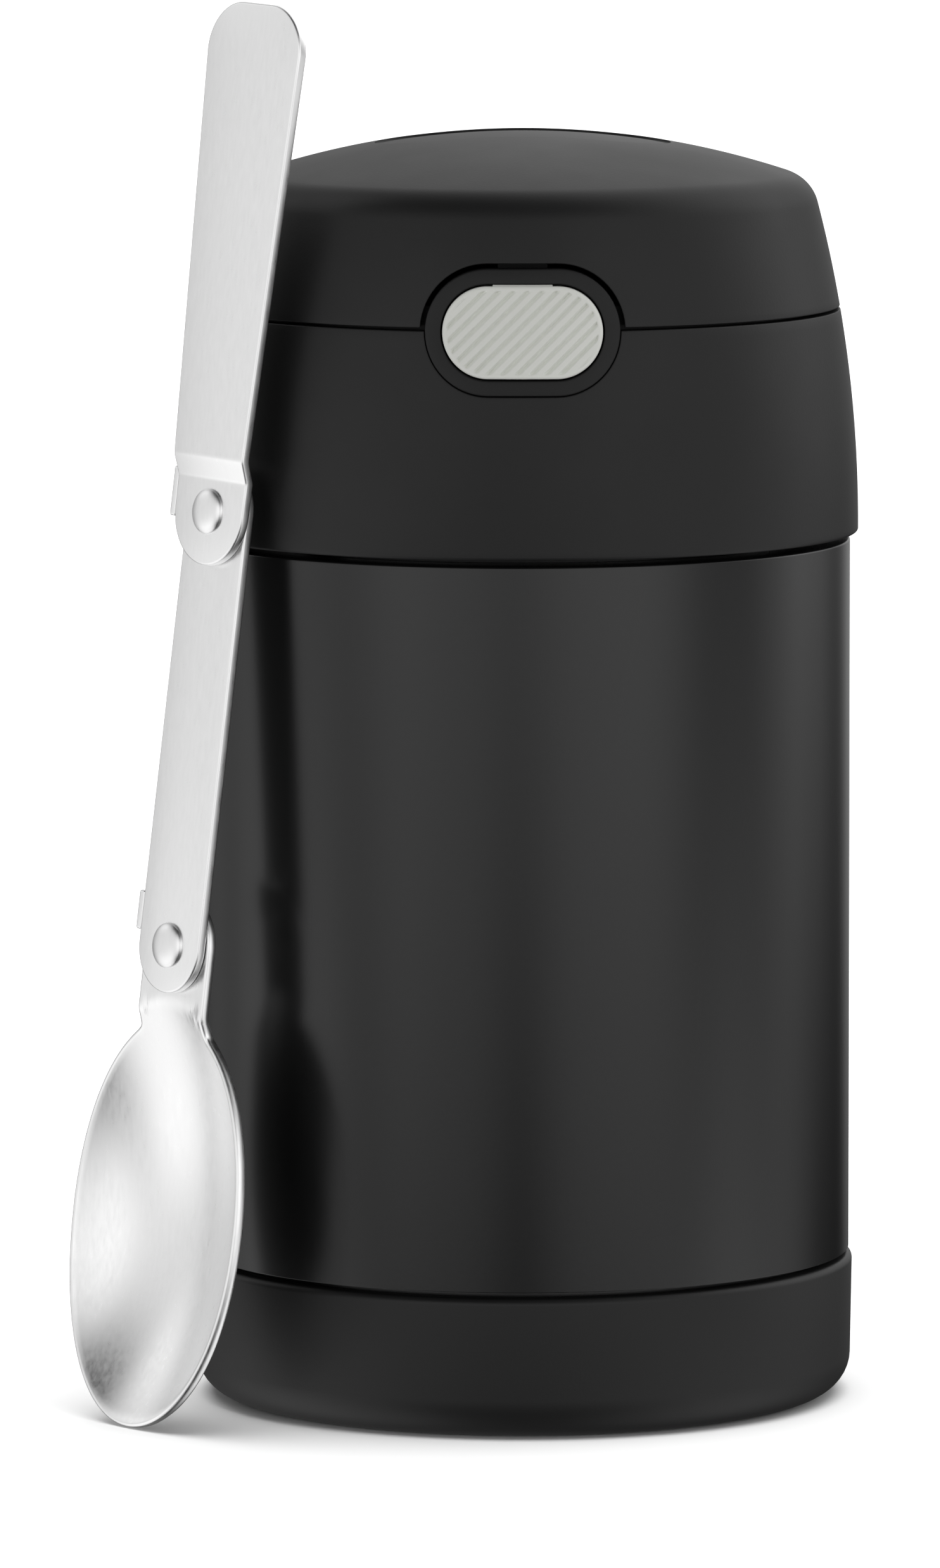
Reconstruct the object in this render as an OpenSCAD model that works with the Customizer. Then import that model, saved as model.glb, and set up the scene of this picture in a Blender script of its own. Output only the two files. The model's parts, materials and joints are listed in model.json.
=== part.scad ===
// Insulated food jar: a double-walled steel vessel, a screw lid with a sprung
// flip cover over a spoon compartment, and a three-part folding spoon that
// leans against the jar.
//
// Frame: origin at the centre of the base's underside, +Z up, the lid's button
// faces -Y and the cover's hinge is at +Y. Millimetres.

/* [Vessel] */
// Outside diameter of the painted steel body
body_d = 86; // [72:0.5:104]
// Height of the body's shoulder above the table
shoulder_z = 113.2; // [94:0.1:136]
// Thickness of the outer steel shell
shell_t = 0.8; // [0.6:0.05:1]
// Thickness of the inner steel liner
liner_t = 0.7; // [0.5:0.05:0.9]
// Evacuated space between shell and liner, along the wall
vacuum_gap = 4.5; // [4:0.1:5.4]
// Radial step from the body in to the threaded neck
shoulder_w = 6.2; // [6:0.1:7.4]
// Radius of the rolled edge of the shoulder
shoulder_round = 1.2; // [0.8:0.1:1.6]
// Height of the neck from the shoulder to the mouth lip
neck_h = 17.8; // [15:0.1:21]
// Space between shell and liner inside the neck
neck_gap = 1.3; // [1:0.1:1.6]
// Height over which the liner narrows to the mouth
liner_cone_h = 7; // [5.5:0.1:8.5]
// Inside rounding of the liner's floor
liner_round = 6; // [4:0.1:8]
// Space under the liner's floor
floor_gap = 3.8; // [3:0.1:5]
// Diameter of the getter puck that keeps the vacuum
getter_d = 12; // [10:0.5:15]
// Thickness of the getter puck
getter_t = 1.8; // [1.5:0.1:2.2]

/* [Base] */
// Height of the base cup
base_h = 18.6; // [15.5:0.1:22.4]
// How far the cup's rim stands proud of the body
base_proud = 0.5; // [0.3:0.05:0.8]
// How much narrower the cup is just above its bottom rounding
base_draft = 0.3; // [0.1:0.05:0.6]
// Outside rounding of the cup's bottom edge
base_round = 5.3; // [4:0.1:6.4]
// Dark gap between the cup's rim and the painted body
base_seam = 0.7; // [0.4:0.05:1]
// Wall of the cup at its rim
base_wall = 2.4; // [2:0.1:3]
// Floor of the cup
base_floor_t = 2.6; // [2.4:0.1:3.2]
// Outside diameter of the non-slip ring under the cup
foot_ring_d = 64; // [54:0.5:66]
// Width of the non-slip ring
foot_ring_w = 5.5; // [4.5:0.1:6.6]
// Thickness of the non-slip ring
foot_ring_t = 1.5; // [1.2:0.1:1.8]

/* [Thread] */
// Rise of the thread in one turn
thread_pitch = 4; // [3.4:0.1:4.8]
// Height of the thread ridge
thread_depth = 0.8; // [0.6:0.05:1]
// Turns of thread on the neck and in the lid
thread_turns = 2.25; // [1.75:0.25:2.5]
// Radial clearance between the two thread crests
thread_clear = 0.2; // [0.15:0.05:0.3]

/* [Lid] */
// Dark gap between the body's shoulder and the collar
body_seam = 1.0; // [0.6:0.05:1.4]
// How far the collar's widest line stands proud of the body
collar_proud = 1.1; // [0.8:0.05:1.5]
// Height of the collar
collar_h = 29; // [26:0.1:34.8]
// Rounding of the collar's lower edge
collar_round = 1; // [0.6:0.1:1.4]
// Wall of the collar
collar_wall = 2; // [1.7:0.05:2.2]
// Dark gap between the collar and the cover
lid_seam = 0.6; // [0.4:0.05:0.9]
// Height of the cover
cover_h = 23.1; // [21.5:0.1:27.7]
// Radius of the barrel curve down the lid's side
side_arc_r = 168; // [140:1:200]
// Radius of the cover's shallow dome
dome_r = 112; // [94:1:134]
// Rounding between the lid's side and its dome
dome_round = 5.5; // [4.6:0.1:6.6]
// Wall of the cover
cover_wall = 1.7; // [1.5:0.05:1.8]

/* [Lid inside] */
// Thickness of the silicone gasket on the mouth lip
gasket_t = 1.4; // [1.2:0.1:1.8]
// Thickness of the inner cap's flange above the gasket
flange_t = 2.2; // [1.8:0.1:2.7]
// Wall of the inner cap's threaded skirt
cap_wall = 1.8; // [1.6:0.05:1.9]
// Radial clearance of the plug in the mouth
plug_clear = 0.7; // [0.5:0.05:1]
// Wall of the plug
plug_wall = 1.4; // [1.2:0.1:1.8]
// Depth of the plug below the gasket
plug_depth = 11.8; // [9.8:0.1:14.2]
// Thickness of the disc that closes the plug
plug_disc_t = 1.2; // [1:0.1:1.5]
// Thickness of the collar's inner ledge
ledge_t = 1.0; // [0.8:0.1:1.2]
// Width of the collar's inner ledge
ledge_w = 4.6; // [3.8:0.1:5.5]
// Wall of the spoon tray
tray_wall = 1.6; // [1.3:0.1:1.8]
// Floor of the spoon tray
tray_floor_t = 1.3; // [1.1:0.1:1.6]
// How far the tray's rim rises above the collar
tray_rise = 3.2; // [2.6:0.1:3.8]
// Gap between the tray's rim and the cover's wall
tray_gap = 0.6; // [0.5:0.05:0.8]
// Thickness of the panel inside the cover
panel_t = 1.4; // [1.2:0.1:1.7]
// Depth of that panel's underside below the top of the dome
panel_drop = 10.7; // [9.6:0.1:11]

/* [Button] */
// Width of the oval button
button_w = 20.9; // [17.4:0.1:25]
// Height of the oval button
button_h = 12.2; // [10.2:0.1:12.4]
// How far the button's face stands proud
button_proud = 0.3; // [0.2:0.05:0.6]
// Dark gap round the button
button_gap = 0.35; // [0.25:0.05:0.5]
// Width of the bezel on each side of the button
bezel_side = 2.25; // [1.75:0.05:2.5]
// Height of the bezel above and below the button
bezel_edge = 2.25; // [1.75:0.05:2.4]
// Hairline gap between the bezel and the collar
bezel_gap = 0.12; // [0.05:0.01:0.2]
// Gap between the bezel and the cover's cut-out
notch_gap = 0.68; // [0.5:0.02:0.9]
// How far the button goes in
button_travel = 2.2; // [2:0.1:2.4]
// Depth of the button's centre below the lid seam
button_drop = 0.15; // [0:0.05:0.5]
// Width of the latch stem
latch_w = 6.4; // [5.4:0.1:7.6]
// Thickness of the latch stem
latch_t = 1.8; // [1.5:0.1:2.1]
// Travel left over once the hook has left the cover's catch
latch_play = 0.8; // [0.6:0.1:1]
// Outside diameter of the button's spring
button_spring_d = 5.2; // [4.4:0.1:5.8]
// Wire of the button's spring
button_wire_d = 0.6; // [0.5:0.05:0.7]
// Room for the button's spring behind the latch
button_spring_l = 8.4; // [7.4:0.1:9.6]

/* [Hinge] */
// Diameter of the hinge pin
pin_d = 1.8; // [1.5:0.05:2]
// Running clearance round the pin
pin_clear = 0.05; // [0.02:0.01:0.08]
// Outside diameter of the hinge knuckles
knuckle_d = 4; // [3.6:0.1:4.4]
// Length of the pin
pin_l = 18.8; // [18:0.1:19.4]
// Height of the pin above the collar
pin_rise = 1.4; // [1.2:0.05:1.7]
// How far the pin's axis lies inside the collar's top edge
pin_inset = 0.75; // [0.5:0.05:0.9]
// Gap between neighbouring knuckles
knuckle_gap = 0.3; // [0.2:0.05:0.4]
// Width of each cover knuckle
cover_knuckle_w = 3.1; // [2.6:0.1:3.4]
// Width of the gap that holds the torsion spring
hinge_spring_w = 5.6; // [5:0.1:6.4]
// Wire of the torsion spring
hinge_wire_d = 0.5; // [0.4:0.05:0.6]

/* [Spoon] */
// Direction that the spoon faces, left of the button
spoon_azimuth = 50; // [40:0.5:60]
// Lean of the spoon back against the lid
spoon_lean = 6.92; // [5.5:0.01:7.2]
// Lean of the spoon to its own right
spoon_side_lean = 1.87; // [0:0.01:3]
// Place of the spoon's tip left of the line through the jar's axis
spoon_shift = 8.9; // [7:0.1:10.6]
// Space left at each end of the folded spoon in its tray
spoon_end_gap = 0.5; // [0.3:0.05:2]
// Thickness of the spoon's sheet steel
plate_t = 1.3; // [1.1:0.05:1.5]
// Gap between the layers of the folding joints
layer_gap = 0.1; // [0.06:0.01:0.15]
// Width of the bowl
bowl_w = 33; // [27.5:0.1:35]
// Length of the bowl
bowl_l = 53.8; // [48:0.1:56]
// Depth of the bowl, outside
bowl_depth = 7.5; // [6.3:0.1:8.5]
// Distance from the folded spoon's end to the tang's rivet
tang_inset = 10.5; // [9.5:0.1:12]
// Width of the tang behind the link
tang_w = 14; // [13.2:0.1:15]
// Width of the middle link
link_w = 12.4; // [11:0.1:13]
// Distance between the handle's rivet and the tip when folded
link_inset = 6.5; // [6.2:0.1:7.5]
// Radius of the handle's riveted end
handle_tab_r = 7.3; // [6.8:0.1:7.4]
// Width of the handle at its free end
handle_w = 19; // [16:0.1:21]
// Corner radius of the handle's free end
handle_round = 6.5; // [5.4:0.1:7.8]
// Space between the folded handle's end and the folded spoon's end
handle_back = 1.2; // [0.8:0.1:2]
// Step forward from the handle's riveted end to its grip
handle_step = 1.7; // [1.5:0.05:2]
// Diameter of the rivet heads
rivet_head_d = 6; // [5:0.1:6.6]
// Height of the rivet heads in front
rivet_head_h = 0.9; // [0.7:0.05:1.1]
// Height of the tang's rivet head behind
rivet_back_h = 0.7; // [0.5:0.05:0.8]
// Diameter of the handle's rivet where it is sunk flush into the link
sink_d = 4.8; // [4:0.1:5.4]
// Depth of that countersink
sink_h = 0.8; // [0.6:0.05:0.9]
// Diameter of the rivet shanks
rivet_d = 3; // [2.6:0.1:3.4]
// Running clearance round the rivet shanks
rivet_clear = 0.05; // [0.03:0.01:0.08]

/* [Hidden] */
$fn = 96;
FINE = 360;          // segments of the large circles
CUT = 1;             // how far a cutter runs past what it cuts
weld_gap = 0.05;     // round a piece that is welded or pressed into place
slip_gap = 0.2;      // between pieces that are pushed together by hand on assembly
swing_gap = 0.3;     // round pieces that swing or slide past each other

black = "#2c2c2e";
paint = "#3a3a3c";
steel = "#c9ccce";
grey = "#bcbeb8";
silicone = "#8d8f90";

// Vessel
body_r = body_d / 2;
cavity_r = body_r - shell_t - vacuum_gap - liner_t;
neck_r = body_r - shoulder_w;
mouth_r = neck_r - shell_t - neck_gap - liner_t;
lip_z = shoulder_z + neck_h;
shell_foot_r = body_r + base_proud - base_wall - slip_gap;
shell_foot_z = base_floor_t;
shell_step_z = base_h + base_seam;
bottom_t = shell_t;
bottom_recess = 0.4;
bottom_z = shell_foot_z + bottom_recess;
liner_z = bottom_z + bottom_t + floor_gap;
liner_cone_drop = 1.5; // from the shoulder's underside to the top of the liner's cone
liner_cone_z = shoulder_z - shell_t - liner_cone_drop - liner_cone_h;

// Lid, from the shoulder up
collar_z = shoulder_z + body_seam;
collar_r = body_r + collar_proud;
collar_top_z = collar_z + collar_h;
cover_z = collar_top_z + lid_seam;
top_z = cover_z + cover_h;
widest_z = collar_z + collar_round;
side_c = [collar_r - side_arc_r, widest_z];
dome_c = [0, top_z - dome_r];
round_c = circle_meet(side_c, side_arc_r - dome_round, dome_c, dome_r - dome_round);
flange_z = lip_z + gasket_t;
flange_top_z = flange_z + flange_t;
ledge_top_z = flange_top_z + ledge_t;
tray_floor_z = ledge_top_z + tray_floor_t;
tray_r = cover_in_r(collar_top_z + tray_rise) - tray_gap;
tray_in_r = tray_r - tray_wall;
tray_top_z = collar_top_z + tray_rise;
panel_z = top_z - panel_drop;
plug_r = mouth_r - plug_clear;
crest_in_r = neck_r + thread_depth + thread_clear;
cap_root_r = crest_in_r + thread_depth;
cap_r = cap_root_r + cap_wall;
thread_rise = 3.4;   // from the shoulder to the start of the neck's thread
thread_z = shoulder_z + thread_rise;

// Button, from the lid seam
bezel_w = button_w + 2 * bezel_side;
bezel_h = button_h + 2 * bezel_edge;
button_z = collar_top_z + lid_seam / 2 - button_drop;
hook_grip = button_travel - latch_play;
catch_rise = 0.25;   // of the cover's catch above the cut-out for the bezel
catch_t = 1.4;
catch_z = button_z + bezel_h / 2 + notch_gap + catch_rise;
hook_gap = 0.1;
hook_t = 1.5;
hook_z = catch_z + catch_t + hook_gap;
hook_y = hook_t / 4 - sqrt(cover_in_r(hook_z) ^ 2 - latch_w ^ 2 / 4);
catch_y = hook_y + hook_grip;
latch_y = catch_y + swing_gap;
latch_back_y = latch_y + latch_t;
bezel_t = 0.8 * collar_wall;
mouth_depth = 8;     // of the cuts in the lid's front that the button and its bezel go in
spring_seat_y = latch_back_y + button_spring_l;
spring_post_d = button_spring_d - 2 * button_wire_d - 4 * slip_gap;
bay_wall = 1.2;
bay_gap = 0.4;

// Hinge, behind the collar's top edge
pin_y = lid_r(collar_top_z) - pin_inset;
pin_z = collar_top_z + pin_rise;
knuckle_r = knuckle_d / 2;
knuckle_cut_r = knuckle_r + swing_gap;
cover_knuckle_x = hinge_spring_w / 2 + knuckle_gap / 2;
ear_x = cover_knuckle_x + cover_knuckle_w + knuckle_gap;
ear_w = pin_l / 2 + slip_gap - ear_x;

// Spoon: local x to its right, y up its length from the bowl's tip, z to its face
fold_l = 2 * tray_in_r - 2 * spoon_end_gap;
link_rivet_y = fold_l - tang_inset;
link_l = link_rivet_y - link_inset;
handle_rivet_y = link_rivet_y + link_l;
handle_l = fold_l - link_inset - handle_back;
link_back_z = plate_t + layer_gap;
tab_back_z = link_back_z + plate_t + layer_gap;
grip_back_z = tab_back_z + handle_step;
tab_l = 6.5;
step_l = 2.6;
ear_t = 1.2;         // of the folded ears that stop the link and the handle when open
lean_gap = 0.25;     // between the lid and the layer of the leaning spoon that comes nearest
stance = collar_r + lean_gap + widest_z * tan(spoon_lean)
    + max(stand_off(link_back_z, handle_rivet_y + link_w / 2),
          stand_off(tab_back_z, handle_rivet_y + tab_l),
          stand_off(grip_back_z, handle_rivet_y + handle_l));
tip_drop = -plate_t * sin(spoon_lean) - 0.01;

// Radius of the lid's outside at height z
function lid_r(z) = side_c.x + sqrt(side_arc_r ^ 2 - (z - widest_z) ^ 2);

// Radius of the cover's inside at height z: on its side, its rounded corner or its dome
function cover_in_r(z) =
    let (side_r = side_arc_r - cover_wall, corner_r = dome_round - cover_wall,
         top_r = dome_r - cover_wall,
         side_end = side_c.y + side_r * (round_c - side_c).y / norm(round_c - side_c),
         dome_end = dome_c.y + top_r * (round_c - dome_c).y / norm(round_c - dome_c))
    z < side_end ? lid_r(z) - cover_wall
    : z < dome_end ? round_c.x + sqrt(corner_r ^ 2 - (z - round_c.y) ^ 2)
    : sqrt(top_r ^ 2 - (z - dome_c.y) ^ 2);

// How far the spoon's back has to lie outside the lid's widest line for a layer that is
// front of that back and ends end_y up the spoon to touch the jar
function stand_off(front, end_y) =
    let (h = min(end_y * cos(spoon_lean) - widest_z, side_arc_r * sin(spoon_lean)))
    h * tan(spoon_lean) - front
    - (h > 0 ? side_arc_r - sqrt(side_arc_r ^ 2 - h ^ 2) : collar_proud);

// Right-hand meeting point of two circles
function circle_meet(c1, r1, c2, r2) =
    let (d = norm(c2 - c1), u = (c2 - c1) / d,
         a = (r1 ^ 2 - r2 ^ 2 + d ^ 2) / (2 * d), h = sqrt(r1 ^ 2 - a ^ 2),
         p = c1 + a * u, q = [-u.y, u.x] * h)
    p.x + q.x > p.x - q.x ? p + q : p - q;

// Solid of revolution between two radii and two heights
module ring(r_in, r_out, z0, z1) {
    rotate_extrude() translate([r_in, z0]) square([r_out - r_in, z1 - z0]);
}

// Rod along X, centred
module x_rod(r, l) {
    rotate([0, 90, 0]) cylinder(r = r, h = l, center = true);
}

// Oval of width w and height h in the XY plane
module oval(w, h) {
    square([w - h, h], center = true);
    for (side = [-1, 1]) translate([side * (w - h) / 2, 0]) circle(d = h);
}

// Oval prism that runs out of the lid's front wall at the button
module front_oval(w, h, depth = mouth_depth) {
    translate([0, -collar_r + depth, button_z]) rotate([90, 0, 0])
        linear_extrude(depth + CUT) oval(w, h);
}

// Half section of a cup with a rounded foot, from z0 to z1
module cup_section(r, foot_round, z0, z1) {
    translate([0, z0]) square([r - foot_round, z1 - z0]);
    translate([0, z0 + foot_round]) square([r, z1 - z0 - foot_round]);
    intersection() {
        translate([r - foot_round, z0 + foot_round]) circle(foot_round);
        translate([0, z0]) square([r, z1 - z0]);
    }
}

// Half section of the closed lid, drawn in by an even inset
module lid_section(inset) {
    reach = dome_round + CUT;
    up = (round_c - dome_c) / norm(round_c - dome_c) * reach;
    out = (round_c - side_c) / norm(round_c - side_c) * reach;
    difference() {
        intersection() {
            translate(side_c) circle(side_arc_r - inset, $fn = FINE);
            translate(dome_c) circle(dome_r - inset, $fn = FINE);
            translate([0, collar_z]) square([collar_r, top_z - collar_z]);
        }
        difference() {
            polygon([round_c, round_c + out, round_c + out + up, round_c + up]);
            translate(round_c) circle(dome_round - inset);
        }
    }
}

// Band of the lid's wall between two heights and two insets
module lid_band(inset, inset_in, z0, z1) {
    rotate_extrude($fn = 2 * $fn) intersection() {
        difference() {
            lid_section(inset);
            lid_section(inset_in);
        }
        translate([0, z0]) square([collar_r + CUT, z1 - z0]);
    }
}

// Everything of the lid's outline between two heights
module lid_slab(inset, z0, z1) {
    rotate_extrude($fn = 2 * $fn) intersection() {
        lid_section(inset);
        translate([0, z0]) square([collar_r + CUT, z1 - z0]);
    }
}

// Closed sweep of a section of [radial, axial] points along a helix, with a straight
// lead before it and a straight tail after it. Points with a positive radial part
// fade in and out over the first and last fade steps.
module helix(section, r, pitch, turns, per_turn, fade = 0, lead = 0, tail = 0) {
    steps = round(turns * per_turn);
    n = len(section);
    stations = [if (lead > 0) [0, -lead], for (i = [0 : steps]) [i, 0],
                if (tail > 0) [steps, tail]];
    last = len(stations) - 1;
    function swell(i) = fade == 0 ? 1 : max(0.05, min(1, i / fade, (steps - i) / fade));
    function at(p, i, slip) = let (a = 360 * i / per_turn, k = p.x > 0 ? swell(i) : 1)
        [(r + p.x * k) * cos(a) - slip * sin(a), (r + p.x * k) * sin(a) + slip * cos(a),
         pitch * i / per_turn + p.y];
    points = [for (s = stations) for (p = section) at(p, s.x, s.y)];
    sides = [for (i = [0 : last - 1]) for (j = [0 : n - 1])
        let (a = i * n + j, b = i * n + (j + 1) % n) each [[a, b, a + n], [b, b + n, a + n]]];
    start = [for (j = [n - 1 : -1 : 0]) j];
    end = [for (j = [0 : n - 1]) last * n + j];
    polyhedron(points, concat(sides, [start, end]));
}

// Thread ridge that grows outward (way 1) or inward (way -1) from radius r
module thread(r, way, z0) {
    half_root = thread_pitch * 0.3;
    half_crest = thread_pitch * 0.1;
    bury = 0.3;
    outward = [[-bury, half_root], [-bury, -half_root],
               [thread_depth, -half_crest], [thread_depth, half_crest]];
    inward = [[bury, -half_root], [bury, half_root],
              [-thread_depth, half_crest], [-thread_depth, -half_crest]];
    translate([0, 0, z0])
        helix(way > 0 ? outward : inward, r, thread_pitch, thread_turns, 60, way > 0 ? 10 : 0);
}

// Round wire wound into a coil along Z, with straight ends
module coil(d, wire_d, length, turns, lead = 0, tail = 0) {
    sides = 6;
    wire = [for (k = [0 : sides - 1]) wire_d / 2 * [cos(360 * k / sides), sin(360 * k / sides)]];
    translate([0, 0, wire_d / 2])
        helix(wire, (d - wire_d) / 2, (length - wire_d) / turns, turns, 18, 0, lead, tail);
}

// ---- Vessel ----

module outer_shell() {
    difference() {
        union() {
            ring(0, shell_foot_r, shell_foot_z, shell_step_z + shell_t);
            rotate_extrude() {
                translate([0, shell_step_z])
                    square([body_r, shoulder_z - shoulder_round - shell_step_z]);
                square_top = shoulder_z - shell_step_z;
                translate([0, shell_step_z]) square([body_r - shoulder_round, square_top]);
                translate([body_r - shoulder_round, shoulder_z - shoulder_round])
                    circle(shoulder_round);
            }
            ring(0, neck_r, shoulder_z - shell_t, lip_z - liner_t);
            thread(neck_r, 1, thread_z);
        }
        ring(0, shell_foot_r - shell_t, shell_foot_z - CUT, shell_step_z + 2 * shell_t);
        ring(0, body_r - shell_t, shell_step_z + shell_t, shoulder_z - shell_t);
        ring(0, neck_r - shell_t, shoulder_z - 2 * shell_t, lip_z + CUT);
    }
}

// Half section of the liner as a solid, drawn in by its wall for the inside
module liner_section(inset) {
    r = cavity_r + liner_t - inset;
    neck = mouth_r + liner_t - inset;
    cup_section(r, liner_round + liner_t - inset, liner_z + inset, liner_cone_z);
    polygon([[0, liner_cone_z - CUT], [r, liner_cone_z - CUT], [r, liner_cone_z],
             [neck, liner_cone_z + liner_cone_h], [neck, lip_z + (inset > 0 ? CUT : 0)],
             [0, lip_z + (inset > 0 ? CUT : 0)]]);
}

module inner_vessel() {
    rotate_extrude() difference() {
        union() {
            liner_section(0);
            translate([0, lip_z - liner_t]) square([neck_r, liner_t]);
        }
        liner_section(liner_t);
    }
}

module shell_bottom() {
    ring(0, shell_foot_r - shell_t - weld_gap, bottom_z, bottom_z + bottom_t);
}

module getter() {
    ring(0, getter_d / 2, bottom_z + bottom_t, bottom_z + bottom_t + getter_t);
}

module base_cup() {
    rim_r = body_r + base_proud;
    foot_r = rim_r - base_draft;
    edge = 0.4;
    rotate_extrude() difference() {
        union() {
            cup_section(foot_r, base_round, 0, base_round + CUT);
            polygon([[0, base_round], [foot_r, base_round], [rim_r, base_h - edge],
                     [rim_r - edge, base_h], [0, base_h]]);
        }
        translate([0, base_floor_t]) square([rim_r - base_wall, base_h]);
        translate([foot_ring_d / 2 - foot_ring_w, -CUT])
            square([foot_ring_w, foot_ring_t + CUT]);
    }
}

module foot_ring() {
    ring(foot_ring_d / 2 - foot_ring_w, foot_ring_d / 2, 0, foot_ring_t);
}

// ---- Stopper ----

module stopper_gasket() {
    ring(plug_r + slip_gap, neck_r, lip_z, flange_z);
}

module plug_disc() {
    bottom = lip_z - plug_depth;
    foot_round = 0.7 * plug_disc_t;
    rotate_extrude() cup_section(plug_r, foot_round, bottom, bottom + plug_disc_t);
}

module plug_foam() {
    ring(0, plug_r - plug_wall - slip_gap, lip_z - plug_depth + plug_disc_t,
         flange_top_z - slip_gap);
}

module inner_cap() {
    foot_rise = 0.8;     // of the cap's foot above the collar's lower edge
    foot_z = collar_z + foot_rise;
    foot_flange_t = 1.2;
    plug_z = lip_z - plug_depth + plug_disc_t;
    difference() {
        union() {
            ring(0, cap_r, foot_z, flange_top_z);
            ring(0, collar_r - collar_wall - slip_gap, foot_z, foot_z + foot_flange_t);
        }
        difference() {
            ring(0, cap_root_r, foot_z - CUT, flange_z);
            thread(cap_root_r, -1, thread_z + thread_pitch / 2);
        }
        ring(0, plug_r - plug_wall, flange_z - CUT, flange_top_z + CUT);
    }
    ring(plug_r - plug_wall, plug_r, plug_z, flange_z);
}

module lid_collar() {
    ledge_r = lid_r(flange_top_z) - collar_wall - ledge_w;
    difference() {
        union() {
            lid_band(0, collar_wall, collar_z, collar_top_z);
            difference() {
                lid_slab(collar_wall / 2, flange_top_z, ledge_top_z);
                ring(0, ledge_r, flange_top_z - CUT, ledge_top_z + CUT);
            }
            for (side = [-1, 1]) collar_ear(side);
        }
        lower_edge_cut();
        // Hole for the bezel, which spares the ledge behind it
        difference() {
            front_oval(bezel_w + 2 * bezel_gap, bezel_h + 2 * bezel_gap);
            lid_slab(bezel_t + bezel_gap, flange_top_z, ledge_top_z);
        }
        translate([0, pin_y, pin_z]) {
            x_rod(knuckle_cut_r, 2 * ear_x - knuckle_gap);
            x_rod(pin_d / 2 + pin_clear, pin_l + 2 * CUT);
        }
    }
}

// Rounds the collar's lower outside edge
module lower_edge_cut() {
    rotate_extrude($fn = 2 * $fn) difference() {
        translate([collar_r - collar_round, collar_z - CUT])
            square([2 * collar_round, collar_round + CUT]);
        translate([collar_r - collar_round, collar_z + collar_round]) circle(collar_round);
    }
}

// Hinge ear of the collar, standing on the wall and kept inside the collar's widest line
module collar_ear(side) {
    root_z = collar_top_z - 5;
    wall_y = pin_y - 1.3;
    root_y = pin_y + pin_d / 2;
    back_y = pin_y + knuckle_r - slip_gap;
    intersection() {
        translate([side > 0 ? ear_x : -ear_x - ear_w, 0, 0]) rotate([90, 0, 90])
            linear_extrude(ear_w) {
                translate([pin_y, pin_z]) circle(knuckle_r);
                polygon([[wall_y, root_z], [root_y, root_z], [back_y, collar_top_z - 1],
                         [back_y, pin_z - pin_d / 3], [pin_y, pin_z], [wall_y, pin_z]]);
            }
        cylinder(r = collar_r - bezel_gap, h = top_z);
    }
}

module spoon_tray() {
    window_gap = button_gap + swing_gap;
    window_depth = collar_r - tray_in_r + button_travel;
    saddle_t = 1.4;
    saddle_h = 3.2;
    saddle_l = 0.55 * tray_in_r;
    post_l = 0.4 * button_spring_l;
    difference() {
        union() {
            ring(0, tray_r, ledge_top_z, tray_floor_z);
            ring(tray_in_r, tray_r, ledge_top_z, tray_top_z);
            intersection() {
                latch_bay();
                ring(0, tray_r, ledge_top_z, tray_top_z);
            }
            // Two low saddles that carry the folded spoon
            for (side = [-1, 1])
                translate([side * fold_l / 4 - saddle_t / 2, 0, ledge_top_z])
                    cube([saddle_t, saddle_l, tray_floor_t + saddle_h]);
        }
        front_oval(button_w + 2 * window_gap, button_h + 2 * window_gap, window_depth);
        translate([0, pin_y, pin_z]) x_rod(knuckle_cut_r, 2 * ear_x - knuckle_gap);
    }
    // Post that centres the button's spring
    translate([0, spring_seat_y, button_z]) rotate([90, 0, 0])
        cylinder(d = spring_post_d, h = post_l);
}

// Walls of the bay that guides the latch and backs its spring
module latch_bay() {
    inner_w = latch_w + 2 * bay_gap;
    difference() {
        translate([-inner_w / 2 - bay_wall, -tray_r, ledge_top_z])
            cube([inner_w + 2 * bay_wall, tray_r + spring_seat_y + bay_wall,
                  tray_top_z - ledge_top_z]);
        translate([-inner_w / 2, -tray_r - CUT, tray_floor_z])
            cube([inner_w, tray_r + CUT + spring_seat_y, tray_top_z]);
    }
}

module button_bezel() {
    difference() {
        intersection() {
            lid_band(0, bezel_t, collar_z, top_z);
            front_oval(bezel_w, bezel_h);
        }
        front_oval(button_w + 2 * button_gap, button_h + 2 * button_gap, mouth_depth + CUT);
    }
}

module hinge_pin() {
    translate([0, pin_y, pin_z]) x_rod(pin_d / 2, pin_l);
}

module hinge_spring() {
    room = hinge_spring_w - 2 * knuckle_gap;
    coil_r = pin_d / 2 + slip_gap + hinge_wire_d;
    cover_leg = 1.6;     // bears on the inside of the cover's wall
    collar_leg = 1.9;    // bears in the collar's notch
    leg_tilt = 13;
    translate([-room / 2, pin_y, pin_z]) rotate([0, 90, 0]) rotate([0, 0, 270 - leg_tilt])
        coil(2 * coil_r, hinge_wire_d, room, 6, cover_leg, collar_leg);
}

module button_spring() {
    translate([0, spring_seat_y, button_z]) rotate([90, 0, 0])
        coil(button_spring_d, button_wire_d, button_spring_l, 6);
}

// ---- Cover ----

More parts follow.
